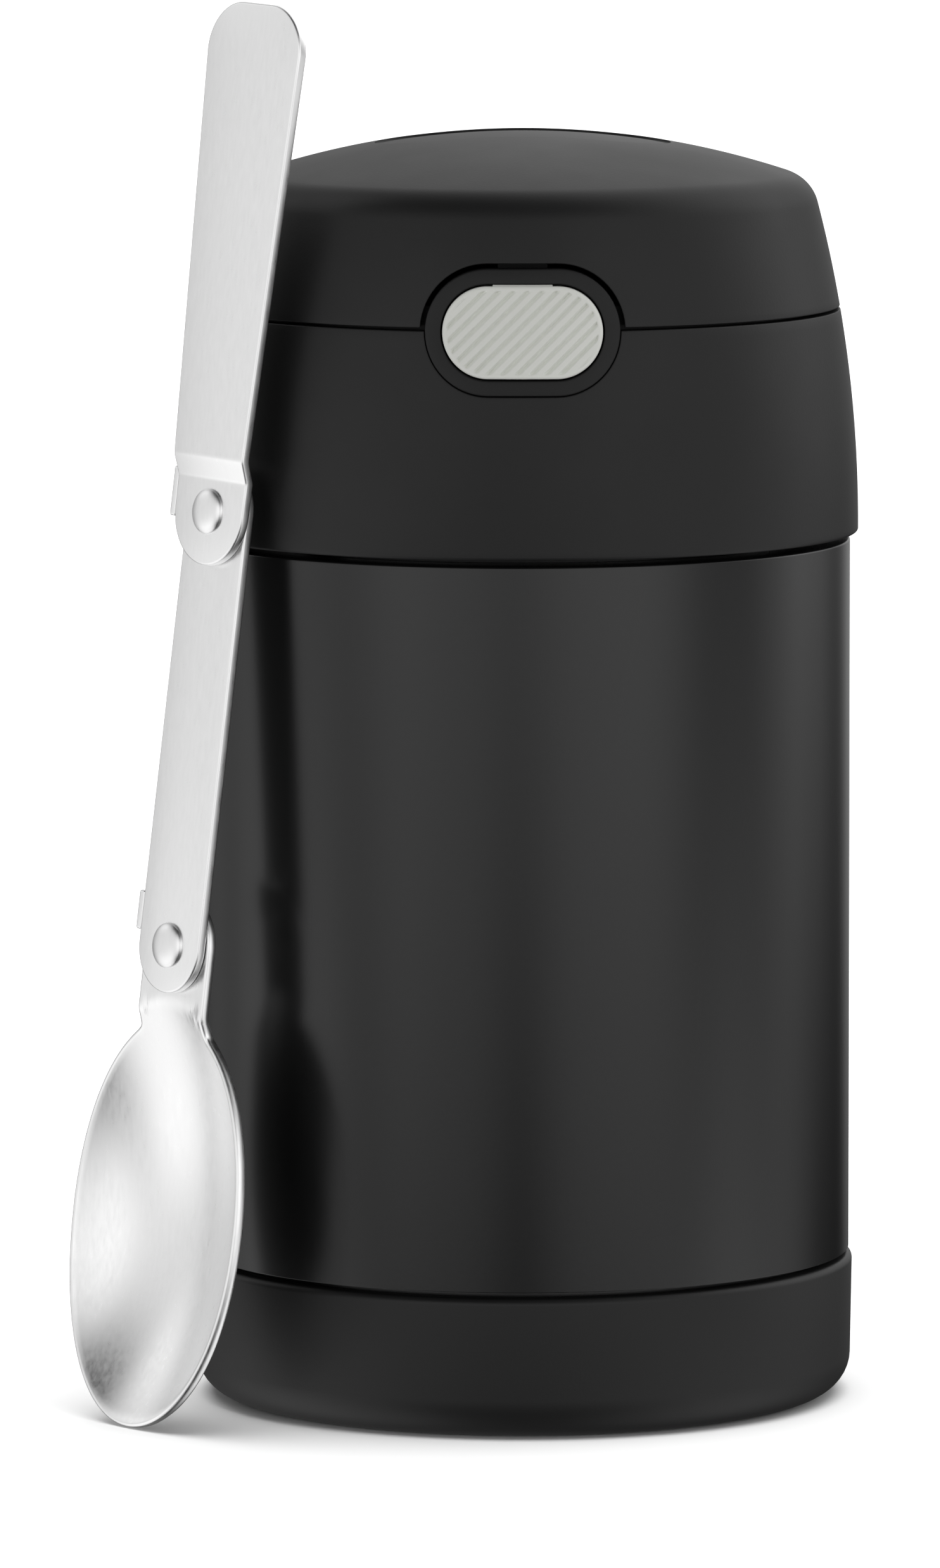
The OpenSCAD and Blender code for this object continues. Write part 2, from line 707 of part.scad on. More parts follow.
module cover_shell() {
    difference() {
        union() {
            lid_band(0, cover_wall, cover_z, top_z);
            for (side = [-1, 1])
                translate([side * (cover_knuckle_x + cover_knuckle_w / 2), pin_y, pin_z])
                    x_rod(knuckle_r, cover_knuckle_w);
            cover_catch();
        }
        front_oval(bezel_w + 2 * notch_gap, bezel_h + 2 * notch_gap);
        translate([0, pin_y, pin_z]) {
            x_rod(pin_d / 2 + pin_clear, pin_l);
            x_rod(knuckle_cut_r, 2 * cover_knuckle_x);
            for (side = [-1, 1])
                translate([side * (ear_x + ear_w / 2), 0, 0]) {
                    x_rod(knuckle_cut_r, ear_w + knuckle_gap);
                    translate([-(ear_w + knuckle_gap) / 2, -knuckle_cut_r, -2 * knuckle_r])
                        cube([ear_w + knuckle_gap, 2 * knuckle_cut_r, 2 * knuckle_r]);
                }
        }
    }
}

// Ledge inside the cover's front wall that the latch hooks over
module cover_catch() {
    catch_w = latch_w + 3;
    intersection() {
        translate([-catch_w / 2, -collar_r, catch_z])
            cube([catch_w, collar_r + catch_y, catch_t]);
        lid_slab(cover_wall / 2, cover_z, top_z);
    }
}

module cover_panel() {
    panel_r = cover_in_r(panel_z + panel_t) - 2 * slip_gap;
    rib_t = 1.2;
    rib_in = 1.6;        // from the panel's edge to its rib
    rib_r = panel_r - rib_in;
    rib_top_z = dome_c.y + sqrt((dome_r - cover_wall) ^ 2 - rib_r ^ 2) - 2 * weld_gap;
    ring(0, panel_r, panel_z, panel_z + panel_t);
    ring(rib_r - rib_t, rib_r, panel_z, rib_top_z);
}

// ---- Button ----

module button_cap() {
    intersection() {
        difference() {
            rotate_extrude($fn = 2 * $fn) difference() {
                lid_section(-button_proud);
                lid_section(bezel_t);
            }
            ring(0, tray_r - tray_wall / 2, collar_z, top_z);
        }
        front_oval(button_w, button_h);
    }
}

module latch_hook() {
    arm_h = 5;
    boss_l = 2;
    intersection() {
        translate([-latch_w / 2, -collar_r, button_z - arm_h / 2])
            cube([latch_w, collar_r + latch_back_y, arm_h]);
        lid_slab(bezel_t + weld_gap, collar_z, top_z);
    }
    translate([-latch_w / 2, latch_y, button_z - arm_h / 2])
        cube([latch_w, latch_t, hook_z + hook_t - button_z + arm_h / 2]);
    // Barb over the cover's catch, with a sloped lead-in
    translate([-latch_w / 2, 0, 0]) rotate([90, 0, 90]) linear_extrude(latch_w)
        polygon([[hook_y, hook_z], [latch_y + latch_t / 2, hook_z],
                 [latch_y + latch_t / 2, hook_z + hook_t], [latch_y - hook_t / 4, hook_z + hook_t]]);
    translate([0, latch_back_y + boss_l, button_z]) rotate([90, 0, 0])
        cylinder(d = spring_post_d, h = boss_l + CUT);
}

// ---- Spoon ----

// Puts the spoon's own frame where it stands, its tip on the table
module spoon_stance() {
    rotate([0, 0, -spoon_azimuth]) translate([-spoon_shift, -stance, tip_drop])
        rotate([90 - spoon_lean, 0, 0]) rotate([0, 0, -spoon_side_lean]) children();
}

// Solid whose skin is curved like the bowl, thinned by inset
module bowl_form(inset) {
    cross_r = (bowl_w ^ 2 / 4 + bowl_depth ^ 2) / (2 * bowl_depth);
    along_r = (bowl_l ^ 2 / 4 + bowl_depth ^ 2) / (2 * bowl_depth);
    intersection() {
        translate([0, bowl_l / 2, plate_t - bowl_depth + along_r]) rotate([0, 90, 0])
            rotate_extrude($fn = FINE) translate([along_r - cross_r, 0]) circle(cross_r - inset);
        translate([-bowl_w, -CUT, -2 * bowl_depth])
            cube([2 * bowl_w, bowl_l + 2 * CUT, 2 * bowl_depth + plate_t + (inset > 0 ? CUT : 0)]);
    }
}

module spoon_bowl() {
    ear_l = 5.1;
    ear_y = link_rivet_y + 2;
    ear_left = link_w / 2 + swing_gap + ear_t;
    neck_in = 4.6;       // from the rim's end to the crease where the flat neck begins
    neck_y = bowl_l - plate_t;
    spoon_stance() difference() {
        union() {
            difference() {
                bowl_form(0);
                bowl_form(plate_t);
            }
            // Flat of the neck, running a little way into the bowl
            intersection() {
                bowl_form(0);
                translate([-tang_w / 2, bowl_l - neck_in, 0]) cube([tang_w, neck_in, plate_t]);
            }
            linear_extrude(plate_t) {
                translate([-tang_w / 2, neck_y]) square([tang_w, link_rivet_y - neck_y]);
                translate([0, link_rivet_y]) circle(tang_w / 2);
                translate([-ear_left, ear_y]) square([ear_left, ear_l]);
                translate([-tang_w / 2, link_rivet_y]) square([tang_w / 2, ear_l + 2]);
            }
            translate([-ear_left, ear_y, 0]) cube([ear_t, ear_l, 2 * plate_t + layer_gap]);
        }
        translate([0, link_rivet_y, -CUT])
            cylinder(d = rivet_d + 2 * rivet_clear, h = plate_t + 2 * CUT);
    }
}

module spoon_link() {
    ear_l = 6;
    ear_y = handle_rivet_y - 0.5;
    ear_left = handle_tab_r + swing_gap + ear_t;
    spoon_stance() translate([0, 0, link_back_z]) difference() {
        union() {
            linear_extrude(plate_t) {
                for (y = [link_rivet_y, handle_rivet_y]) translate([0, y]) circle(link_w / 2);
                translate([-link_w / 2, link_rivet_y]) square([link_w, link_l]);
                translate([-ear_left, ear_y]) square([ear_left, ear_l]);
            }
            translate([-ear_left, ear_y, 0]) cube([ear_t, ear_l, 2 * plate_t + layer_gap]);
        }
        for (y = [link_rivet_y, handle_rivet_y])
            translate([0, y, -CUT])
                cylinder(d = rivet_d + 2 * rivet_clear, h = plate_t + 2 * CUT);
        translate([0, handle_rivet_y, 0]) sunk_head(2 * rivet_clear, CUT);
    }
}

module spoon_handle() {
    grip_y = handle_rivet_y + tab_l + step_l;
    top_y = handle_rivet_y + handle_l;
    neck_w = 2 * handle_tab_r - 0.8;
    corner_y = top_y - handle_round;
    corner_x = handle_w / 2 - handle_round;
    spoon_stance() difference() {
        intersection() {
            // Outline, seen from the front
            translate([0, 0, tab_back_z - CUT]) linear_extrude(handle_step + plate_t + 2 * CUT) {
                translate([0, handle_rivet_y]) circle(handle_tab_r);
                polygon([[-handle_tab_r, handle_rivet_y], [handle_tab_r, handle_rivet_y],
                         [neck_w / 2, grip_y], [handle_w / 2, corner_y],
                         [-handle_w / 2, corner_y], [-neck_w / 2, grip_y]]);
                for (side = [-1, 1]) translate([side * corner_x, corner_y]) circle(handle_round);
                translate([-corner_x, corner_y]) square([2 * corner_x, handle_round]);
            }
            // Stepped profile, seen from the side
            translate([-handle_w, 0, 0]) rotate([90, 0, 90]) linear_extrude(2 * handle_w)
                polygon([[handle_rivet_y - handle_tab_r - CUT, tab_back_z],
                         [handle_rivet_y + tab_l, tab_back_z], [grip_y, grip_back_z],
                         [top_y + CUT, grip_back_z], [top_y + CUT, grip_back_z + plate_t],
                         [grip_y - plate_t / 2, grip_back_z + plate_t],
                         [handle_rivet_y + tab_l - plate_t / 2, tab_back_z + plate_t],
                         [handle_rivet_y - handle_tab_r - CUT, tab_back_z + plate_t]]);
        }
        translate([0, handle_rivet_y, tab_back_z - CUT])
            cylinder(d = rivet_d + 2 * rivet_clear, h = plate_t + 2 * CUT);
    }
}

// Rivet through the sheets between two heights, with a domed head in front
module rivet(y, z0, z1) {
    translate([0, y, z0]) cylinder(d = rivet_d, h = z1 - z0);
    translate([0, y, z1]) rivet_head(rivet_head_h);
}

module rivet_head(h) {
    r = (rivet_head_d ^ 2 / 4 + h ^ 2) / (2 * h);
    intersection() {
        translate([0, 0, h - r]) sphere(r, $fn = FINE);
        cylinder(d = rivet_head_d + CUT, h = h + CUT);
    }
}

// Countersunk end of the handle's rivet, widened by a clearance and run out below its face
module sunk_head(clear, run_out) {
    slope = (sink_d - rivet_d) / sink_h;
    translate([0, 0, -run_out])
        cylinder(d1 = sink_d + clear + slope * run_out, d2 = rivet_d + clear, h = sink_h + run_out);
}

module link_rivet() {
    spoon_stance() {
        rivet(link_rivet_y, 0, link_back_z + plate_t);
        translate([0, link_rivet_y, 0]) mirror([0, 0, 1]) rivet_head(rivet_back_h);
    }
}

// Flush behind, so that it passes over the bowl's rim as the link folds
module handle_rivet() {
    spoon_stance() {
        rivet(handle_rivet_y, link_back_z, tab_back_z + plate_t);
        translate([0, handle_rivet_y, link_back_z]) sunk_head(0, 0);
    }
}

color(paint) outer_shell();
color(steel) inner_vessel();
color(steel) shell_bottom();
color(grey) getter();
color(black) base_cup();
color(silicone) foot_ring();
color(silicone) stopper_gasket();
color(black) plug_disc();
color("white") plug_foam();
color(black) inner_cap();
color(black) lid_collar();
color(black) spoon_tray();
color(black) button_bezel();
color(steel) hinge_pin();
color(steel) hinge_spring();
color(steel) button_spring();
color(black) cover_shell();
color(black) cover_panel();
color(grey) button_cap();
color(grey) latch_hook();
color(steel) spoon_bowl();
color(steel) link_rivet();
color(steel) spoon_link();
color(steel) handle_rivet();
color(steel) spoon_handle();
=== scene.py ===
"""Looks of the insulated food jar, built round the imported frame. Shapes are drawn in millimetres."""
import json
from math import asin, atan2, cos, exp, hypot, pi, radians, sin, sqrt, tan

import bmesh
import bpy
from mathutils import Matrix, Vector


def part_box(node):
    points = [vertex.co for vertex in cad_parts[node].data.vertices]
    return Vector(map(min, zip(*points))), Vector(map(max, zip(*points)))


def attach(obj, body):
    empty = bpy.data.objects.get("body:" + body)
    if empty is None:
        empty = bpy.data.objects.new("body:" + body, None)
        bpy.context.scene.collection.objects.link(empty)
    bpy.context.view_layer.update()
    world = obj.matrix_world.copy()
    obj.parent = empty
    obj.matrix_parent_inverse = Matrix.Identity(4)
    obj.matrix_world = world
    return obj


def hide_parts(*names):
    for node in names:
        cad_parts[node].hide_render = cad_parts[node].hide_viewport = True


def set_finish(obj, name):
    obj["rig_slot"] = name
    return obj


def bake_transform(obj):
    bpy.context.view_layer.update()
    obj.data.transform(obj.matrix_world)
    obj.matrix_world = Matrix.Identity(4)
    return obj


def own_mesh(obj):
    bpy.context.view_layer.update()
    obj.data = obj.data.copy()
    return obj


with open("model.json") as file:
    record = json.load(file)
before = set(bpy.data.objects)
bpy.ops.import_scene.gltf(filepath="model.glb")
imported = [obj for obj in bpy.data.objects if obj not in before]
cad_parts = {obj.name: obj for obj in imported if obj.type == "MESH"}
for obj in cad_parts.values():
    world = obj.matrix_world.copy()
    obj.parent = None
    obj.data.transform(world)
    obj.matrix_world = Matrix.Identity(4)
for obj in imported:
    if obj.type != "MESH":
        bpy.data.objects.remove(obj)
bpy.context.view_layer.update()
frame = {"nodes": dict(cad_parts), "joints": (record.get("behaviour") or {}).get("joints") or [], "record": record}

MM = 0.001
TURN = 2 * pi
QUARTER = [radians(90 * k / 4) for k in range(5)]    # angles of the rows of a rounded edge
SHARP_ANGLE = 32    # faces that meet at a wider angle than this, in degrees, keep a hard edge

# ---- Sizes of the jar, in millimetres: read from the CAD, or set after it and the photograph ----
BODY_R = 1000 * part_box("outer_shell")[1].x
COLLAR_Z = 1000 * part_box("lid_collar")[0].z
COLLAR_R = 1000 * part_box("lid_collar")[1].x
COLLAR_TOP_Z = COLLAR_Z + 29.2
COLLAR_WALL = 2.0
COVER_Z = COLLAR_TOP_Z + 0.4
COVER_WALL = 1.7
TOP_Z = 1000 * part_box("cover_shell")[1].z
WIDEST_Z = COLLAR_Z + 1
SIDE_ARC_R = 168
DOME_R = 112
DOME_ROUND = 5.5
BASE_H = 1000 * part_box("base_cup")[1].z
BASE_R = 1000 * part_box("base_cup")[1].x
BASE_SEAM, SHELL_GAP, SHOULDER_W, SHOULDER_ROUND = 0.7, 0.85, 6.2, 0.35
RECESS_W, RECESS_D, RECESS_DEPTH = 39, 19, 0.35
CATCH_W, CATCH_LOW_Z, CATCH_ROOT_Z, CATCH_HIGH_Z, CATCH_BACK_Y = 9.4, 152.63, 153, 154.03, -36.3
LEDGE_LOW_Z, LEDGE_HIGH_Z, LEDGE_W = 134.6, 135.6, 4.6

BUTTON_Z = COLLAR_TOP_Z - 0.1
BUTTON_W, BUTTON_H, BUTTON_PROUD = 20.6, 11.75, 0.3
BEZEL_W, BEZEL_H, BEZEL_T = 25.1, 16.2, 1.6
BUTTON_GAP, BEZEL_GAP, NOTCH_GAP = 0.22, 0.08, 0.62

PIN_Y = 500 * (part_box("hinge_pin")[0].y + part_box("hinge_pin")[1].y)
PIN_Z = 500 * (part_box("hinge_pin")[0].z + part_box("hinge_pin")[1].z)
KNUCKLE_R, KNUCKLE_CUT_R, PIN_HOLE_R = 2.0, 2.3, 0.95
COVER_KNUCKLE_X, COVER_KNUCKLE_W = 2.95, 3.1
HINGE_EAR_X, HINGE_EAR_W = 6.35, 3.25

# ---- Spoon, in its own frame: x to its right, y up from the bowl's tip, z to its face ----
PLATE_T = 1.3
LAYER_GAP = 0.1
BOWL_W, BOWL_L, BOWL_DEPTH, BOWL_DIP = 34.2, 53.8, 7.5, 1.4
LINK_RIVET_Y, HANDLE_RIVET_Y, HANDLE_TOP_Y = 63.055, 119.610, 185.465
TANG_W, LINK_W, TAB_R, HANDLE_W, HANDLE_ROUND = 13.5, 12.4, 7.0, 19.0, 6.5
PLATE_SOFT, RIM_MARGIN = 0.3, 0.45
LINK_Z = PLATE_T + LAYER_GAP
TAB_Z = LINK_Z + PLATE_T + LAYER_GAP
HANDLE_STEP = 1.1
STOP_T, STOP_GAP, STOP_TALL = 1.2, 0.3, 2.3


# ---- Small geometry tools ----
def arc(cx, cy, r, start, end, steps):
    """Points on a circle from one angle to another, in degrees."""
    angles = [radians(start + (end - start) * k / steps) for k in range(steps + 1)]
    return [(cx + r * cos(a), cy + r * sin(a)) for a in angles]


def fillet(corners, steps=6):
    """Closed outline through (x, y, radius) corners, each rounded to its radius."""
    out = []
    for i, (x, y, r) in enumerate(corners):
        p = Vector((x, y))
        if r <= 0:
            out.append((x, y))
            continue
        a = (Vector(corners[i - 1][:2]) - p).normalized()
        b = (Vector(corners[(i + 1) % len(corners)][:2]) - p).normalized()
        half = a.angle(b) / 2
        centre = p + (a + b).normalized() * r / sin(half)
        u, v = p + a * r / tan(half) - centre, p + b * r / tan(half) - centre
        sweep = atan2(u.cross(v), u.dot(v))
        for k in range(steps + 1):
            turn = Matrix.Rotation(sweep * k / steps, 2)
            out.append(tuple(centre + turn @ u))
    return out


def resample(outline, spacing):
    """The closed outline again, with its long edges divided."""
    out = []
    for i, p in enumerate(outline):
        q = outline[(i + 1) % len(outline)]
        n = max(1, round(hypot(q[0] - p[0], q[1] - p[1]) / spacing))
        out += [(p[0] + (q[0] - p[0]) * k / n, p[1] + (q[1] - p[1]) * k / n) for k in range(n)]
    return out


def outward(outline):
    """Outward normals at the points of an anticlockwise outline."""
    n = len(outline)
    out = []
    for i in range(n):
        (ax, ay), (bx, by) = outline[i - 1], outline[(i + 1) % n]
        out.append(Vector((by - ay, ax - bx)).normalized())
    return out


def ring_angles(r, count):
    """Angles round a circle, or only one where its radius is nothing."""
    return [TURN * k / count for k in range(count)] if r > 1e-6 else [0]


class Shape:
    """Vertices and faces gathered in millimetres."""

    def __init__(self):
        self.verts, self.faces = [], []

    def rows(self, rows, closed=True):
        """Joins rows of points with quads. Each row is a ring if closed, and a row of one point is
        a pole."""
        starts = []
        for row in rows:
            starts.append(len(self.verts))
            self.verts += [Vector(p) for p in row]
        for k in range(len(rows) - 1):
            n, m = len(rows[k]), len(rows[k + 1])
            count = max(n, m)
            for i in range(count if closed else count - 1):
                j = (i + 1) % count
                quad = [starts[k] + i % n, starts[k] + j % n,
                        starts[k + 1] + j % m, starts[k + 1] + i % m]
                if len(set(quad)) > 2:
                    self.faces.append(tuple(dict.fromkeys(quad)))
        return self

    def face(self, points):
        """Adds one face with its own points."""
        start = len(self.verts)
        self.verts += [Vector(p) for p in points]
        self.faces.append(tuple(range(start, start + len(points))))
        return self

    def lathe(self, profile):
        """Turns a closed (r, z) profile round the jar's axis."""
        rows, segments = [], 256
        for r, z in profile + profile[:1]:
            rows.append([(r * cos(a), r * sin(a), z) for a in ring_angles(r, segments)])
        return self.rows(rows)

    def rod_x(self, y, z, profile, segments=64):
        """Turns a closed (r, x) profile round the line through (y, z) along X."""
        rows = []
        for r, x in profile + profile[:1]:
            rows.append([(x, y + r * cos(a), z + r * sin(a)) for a in ring_angles(r, segments)])
        return self.rows(rows)


def shade(mesh, sharp=SHARP_ANGLE):
    """Smooth shading, with hard edges where faces meet at more than the sharp angle."""
    mesh.shade_smooth()
    mesh.set_sharp_from_angle(angle=radians(sharp))


def piece(name, shape, material, body, slot, nodes=(), place=None, sharp=SHARP_ANGLE):
    """A mesh object made from a shape, riding on a body and standing for CAD nodes."""
    weld = 0.0004
    mesh = bpy.data.meshes.new(name)
    mesh.from_pydata([v * MM for v in shape.verts], [], shape.faces)
    bm = bmesh.new()
    bm.from_mesh(mesh)
    bmesh.ops.remove_doubles(bm, verts=bm.verts, dist=weld * MM)
    bmesh.ops.recalc_face_normals(bm, faces=bm.faces)
    bm.to_mesh(mesh)
    bm.free()
    if place is not None:
        mesh.transform(place)
    shade(mesh, sharp)
    mesh.materials.append(material)
    obj = bpy.data.objects.new(name, mesh)
    bpy.context.scene.collection.objects.link(obj)
    if body:
        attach(obj, body)
    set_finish(obj, slot)
    if nodes:
        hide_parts(*nodes)
    return obj


def carve(obj, cutters):
    """Subtracts closed shapes from an object's mesh."""
    for k, shape in enumerate(cutters):
        cutter = piece(f"cutter_{k}", shape, obj.data.materials[0], None, obj["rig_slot"])
        modifier = obj.modifiers.new("carve", "BOOLEAN")
        modifier.operation = "DIFFERENCE"
        modifier.solver = "EXACT"
        modifier.object = cutter
        bpy.context.view_layer.update()
        graph = bpy.context.evaluated_depsgraph_get()
        mesh = bpy.data.meshes.new_from_object(obj.evaluated_get(graph))
        obj.modifiers.clear()
        obj.data = mesh
        bpy.data.objects.remove(cutter)
    shade(obj.data)


# ---- Materials ----
NOISE_LOW, NOISE_HIGH = 0.3, 0.7    # the stretch of a noise value that tints and gloss follow


class Nodes:
    """A material's node tree, with short ways to add what these finishes share."""

    def __init__(self, name):
        self.material = bpy.data.materials.new(name)
        self.material.use_nodes = True
        self.tree = self.material.node_tree
        self.shader = self.tree.nodes["Principled BSDF"]

    def add(self, kind, **inputs):
        node = self.tree.nodes.new(kind)
        for key, value in inputs.items():
            socket = node.inputs[key.replace("_", " ")]
            if isinstance(value, bpy.types.NodeSocket):
                self.tree.links.new(value, socket)
            else:
                socket.default_value = value
        return node

    def noise(self, scale, detail=3.0, stretch=(1, 1, 1), roughness=0.5):
        place = self.add("ShaderNodeTexCoord").outputs["Object"]
        mapped = self.add("ShaderNodeMapping", Vector=place, Scale=stretch).outputs["Vector"]
        return self.add("ShaderNodeTexNoise", Vector=mapped, Scale=scale, Detail=detail,
                        Roughness=roughness).outputs["Fac"]

    def spread(self, value, low, high):
        """Maps a noise value to a range."""
        return self.add("ShaderNodeMapRange", Value=value, From_Min=NOISE_LOW, From_Max=NOISE_HIGH,
                        To_Min=low, To_Max=high).outputs["Result"]

    def tint(self, value, dark, light):
        """Colours the surface between two shades."""
        ramp = self.tree.nodes.new("ShaderNodeValToRGB")
        for stop, place, color in zip(ramp.color_ramp.elements, (NOISE_LOW, NOISE_HIGH), (dark, light)):
            stop.position = place
            stop.color = (*color, 1)
        self.tree.links.new(value, ramp.inputs["Fac"])
        self.tree.links.new(ramp.outputs["Color"], self.shader.inputs["Base Color"])

    def soft_edges(self, radius):
        """Normals that are rounded over the edges, to build bumps on."""
        return self.add("ShaderNodeBevel", Radius=radius * MM).outputs["Normal"]

    def bump(self, height, distance, strength, normal=None):
        node = self.add("ShaderNodeBump", Height=height, Distance=distance, Strength=strength)
        if normal is not None:
            self.tree.links.new(normal, node.inputs["Normal"])
        return node.outputs["Normal"]

    def normal(self, socket):
        self.tree.links.new(socket, self.shader.inputs["Normal"])

    def rough(self, socket):
        self.tree.links.new(socket, self.shader.inputs["Roughness"])

    def set(self, **values):
        for key, value in values.items():
            self.shader.inputs[key.replace("_", " ")].default_value = value
        return self.material


def shades(color, spread):
    """A colour made a little darker and a little lighter."""
    return [tuple(c * (1 - spread) for c in color), tuple(c * (1 + spread) for c in color)]


def moulded(name, color, roughness, grain=0.02, grain_scale=2600, mottle=0.06, **values):
    """Moulded plastic: fine grain, faint mottling and softened edges."""
    n = Nodes(name)
    n.tint(n.noise(60, 4), *shades(color, mottle))
    n.rough(n.spread(n.noise(35, 5), roughness - 0.04, roughness + 0.04))
    swirl = n.bump(n.noise(90, 2), 0.05 * MM, 0.15, n.soft_edges(0.15))
    n.normal(n.bump(n.noise(grain_scale, 2), grain * MM, 0.5, swirl))
    return n.set(**values)


def satin_paint(name, color, roughness):
    """Powder-coated paint: a faint orange peel, fine speckle and slow changes of gloss."""
    n = Nodes(name)
    n.tint(n.noise(1400, 2), *shades(color, 0.12))
    n.rough(n.spread(n.noise(25, 4, (1, 1, 0.3)), roughness - 0.025, roughness + 0.03))
    peel = n.bump(n.noise(420, 2), 0.02 * MM, 0.10)
    n.normal(n.bump(n.noise(2400, 2), 0.01 * MM, 0.35, peel))
    return n.set(IOR=1.5)


def metal(name, color, roughness, stretch, grain, scale, spread=0.05):
    """Stainless steel whose grain is drawn out by stretch."""
    n = Nodes(name)
    streaks = n.noise(scale, 3, stretch, 0.6)
    n.tint(streaks, *shades(color, spread))
    n.rough(n.spread(streaks, roughness - 0.05, roughness + 0.06))
    n.normal(n.bump(streaks, grain * MM, 0.35))
    return n.set(Metallic=1.0)


def silicone(name, color, roughness, subsurface=0.0):
    """Matte silicone rubber with softened edges. subsurface is the share of light that enters it."""
    n = Nodes(name)
    n.tint(n.noise(80, 3), *shades(color, 0.05))
    n.rough(n.spread(n.noise(50, 4), roughness - 0.05, roughness + 0.05))
    n.normal(n.bump(n.noise(1500, 2), 0.01 * MM, 0.3, n.soft_edges(0.2)))
    return n.set(Subsurface_Weight=subsurface, Subsurface_Scale=0.002)


def foam(name, color):
    """Closed-cell foam."""
    n = Nodes(name)
    cells = n.add("ShaderNodeTexVoronoi", Scale=1500.0).outputs["Distance"]
    n.tint(cells, *shades(color, 0.08))
    n.rough(n.spread(cells, 0.8, 0.95))
    n.normal(n.bump(cells, 0.1 * MM, 0.5))
    return n.set()


PAINT = satin_paint("satin_black_paint", (0.004, 0.004, 0.0041), 0.26)
SOFT_BLACK = moulded("soft_black_plastic", (0.006, 0.006, 0.0061), 0.5, Specular_IOR_Level=0.375)
INNER_BLACK = moulded("inner_black_plastic", (0.005, 0.005, 0.0051), 0.5, grain=0.03, grain_scale=1500,
                      Specular_IOR_Level=0.35)
GREY = moulded("warm_grey_plastic", (0.86, 0.87, 0.82), 0.5, grain=0.015, mottle=0.02)
SPOON = metal("spoon_steel", (0.92, 0.92, 0.92), 0.32, (1.4, 1.4, 0.25), 0.0015, 1400, spread=0.02)
BRUSHED = metal("brushed_steel", (0.62, 0.62, 0.61), 0.3, (0.4, 0.4, 4), 0.01, 900)
SPRING = metal("spring_steel", (0.55, 0.55, 0.54), 0.25, (1, 1, 1), 0.004, 1200)
GETTER = metal("getter_metal", (0.4, 0.4, 0.4), 0.7, (1, 1, 1), 0.05, 1500)
DARK_SILICONE = silicone("dark_silicone", (0.05, 0.05, 0.052), 0.6)
CLEAR_SILICONE = silicone("clear_silicone", (0.62, 0.63, 0.63), 0.4, 0.4)
FOAM = foam("insulation_foam", (0.85, 0.84, 0.8))

BY_SLOT = {"satin_black_paint": PAINT, "brushed_steel": BRUSHED, "getter_metal": GETTER,
           "soft_black_plastic": SOFT_BLACK, "inner_black_plastic": INNER_BLACK,
           "dark_silicone": DARK_SILICONE, "clear_silicone": CLEAR_SILICONE,
           "insulation_foam": FOAM, "spring_steel": SPRING, "warm_grey_plastic": GREY,
           "spoon_steel": SPOON}


def finish_cad_nodes():
    """Gives every CAD node the material of its slot."""
    for part in frame["record"]["subparts"]:
        node = frame["nodes"][part["node"]]
        node.data.materials.clear()
        node.data.materials.append(BY_SLOT[part["material_slot"]])


# ---- The lid's outline ----
SIDE_C = Vector((COLLAR_R - SIDE_ARC_R, WIDEST_Z))
DOME_C = Vector((0, TOP_Z - DOME_R))


def circle_meet(c1, r1, c2, r2):
    """Right-hand meeting point of two circles."""
    d = (c2 - c1).length
    u = (c2 - c1) / d
    a = (r1 ** 2 - r2 ** 2 + d ** 2) / (2 * d)
    q = Vector((-u.y, u.x)) * sqrt(r1 ** 2 - a ** 2)
    return max((c1 + a * u + q, c1 + a * u - q), key=lambda p: p.x)


ROUND_C = circle_meet(SIDE_C, SIDE_ARC_R - DOME_ROUND, DOME_C, DOME_R - DOME_ROUND)


def lid_r(z):
    """Radius of the lid's side at height z."""
    return SIDE_C.x + sqrt(SIDE_ARC_R ** 2 - (z - WIDEST_Z) ** 2)


def dome_profile(inset, z_from):
    """(r, z) points of the lid's top from a height on its side to the axis, drawn in by inset."""
    def angle(centre, p):
        return atan2(p.y - centre.y, p.x - centre.x) * 180 / pi

    low = Vector((lid_r(z_from), z_from))
    turn1, turn2 = angle(SIDE_C, ROUND_C), angle(DOME_C, ROUND_C)
    side = arc(*SIDE_C, SIDE_ARC_R - inset, angle(SIDE_C, low), turn1, 4)
    bend = arc(*ROUND_C, DOME_ROUND - inset, turn1, turn2, 14)
    top = arc(*DOME_C, DOME_R - inset, turn2, 90, 26)
    return side + bend[1:] + top[1:]


# ---- Walls of the collar and the cover, with the notch for the bezel ----
PANEL_X = 24.0    # half width of the front stretch that holds the notch
LEVEL_X = 12      # half width of the middle columns in a ring off the side
LINE_N, ARC_N, TOP_N, BACK_N = 10, 16, 12, 200    # columns beside, round, over and behind the notch


def notch_row(way, z_edge, half_h, half_w, away):
    """(x, z) points of the edge path, moved away from the edge and the notch, from left to right.
    way is 1 for a wall above its edge and -1 for a wall below it."""
    run = half_w - half_h
    reach = half_h + away
    lift = way * (z_edge - BUTTON_Z) + away
    corner = run + sqrt(reach ** 2 - lift ** 2)
    start = asin(lift / reach)
    right = [(run + reach * cos(a), reach * sin(a))
             for a in (start + (pi / 2 - start) * k / ARC_N for k in range(ARC_N + 1))]
    top = [(run - 2 * run * k / TOP_N, reach) for k in range(1, TOP_N)]
    left = [(-x, z) for x, z in reversed(right)]
    line = [(corner + (PANEL_X - corner) * k / LINE_N, lift) for k in range(LINE_N, 0, -1)]
    path = line + right + top + left + [(-x, z) for x, z in reversed(line)]
    return [(x, BUTTON_Z + way * z) for x, z in reversed(path)]


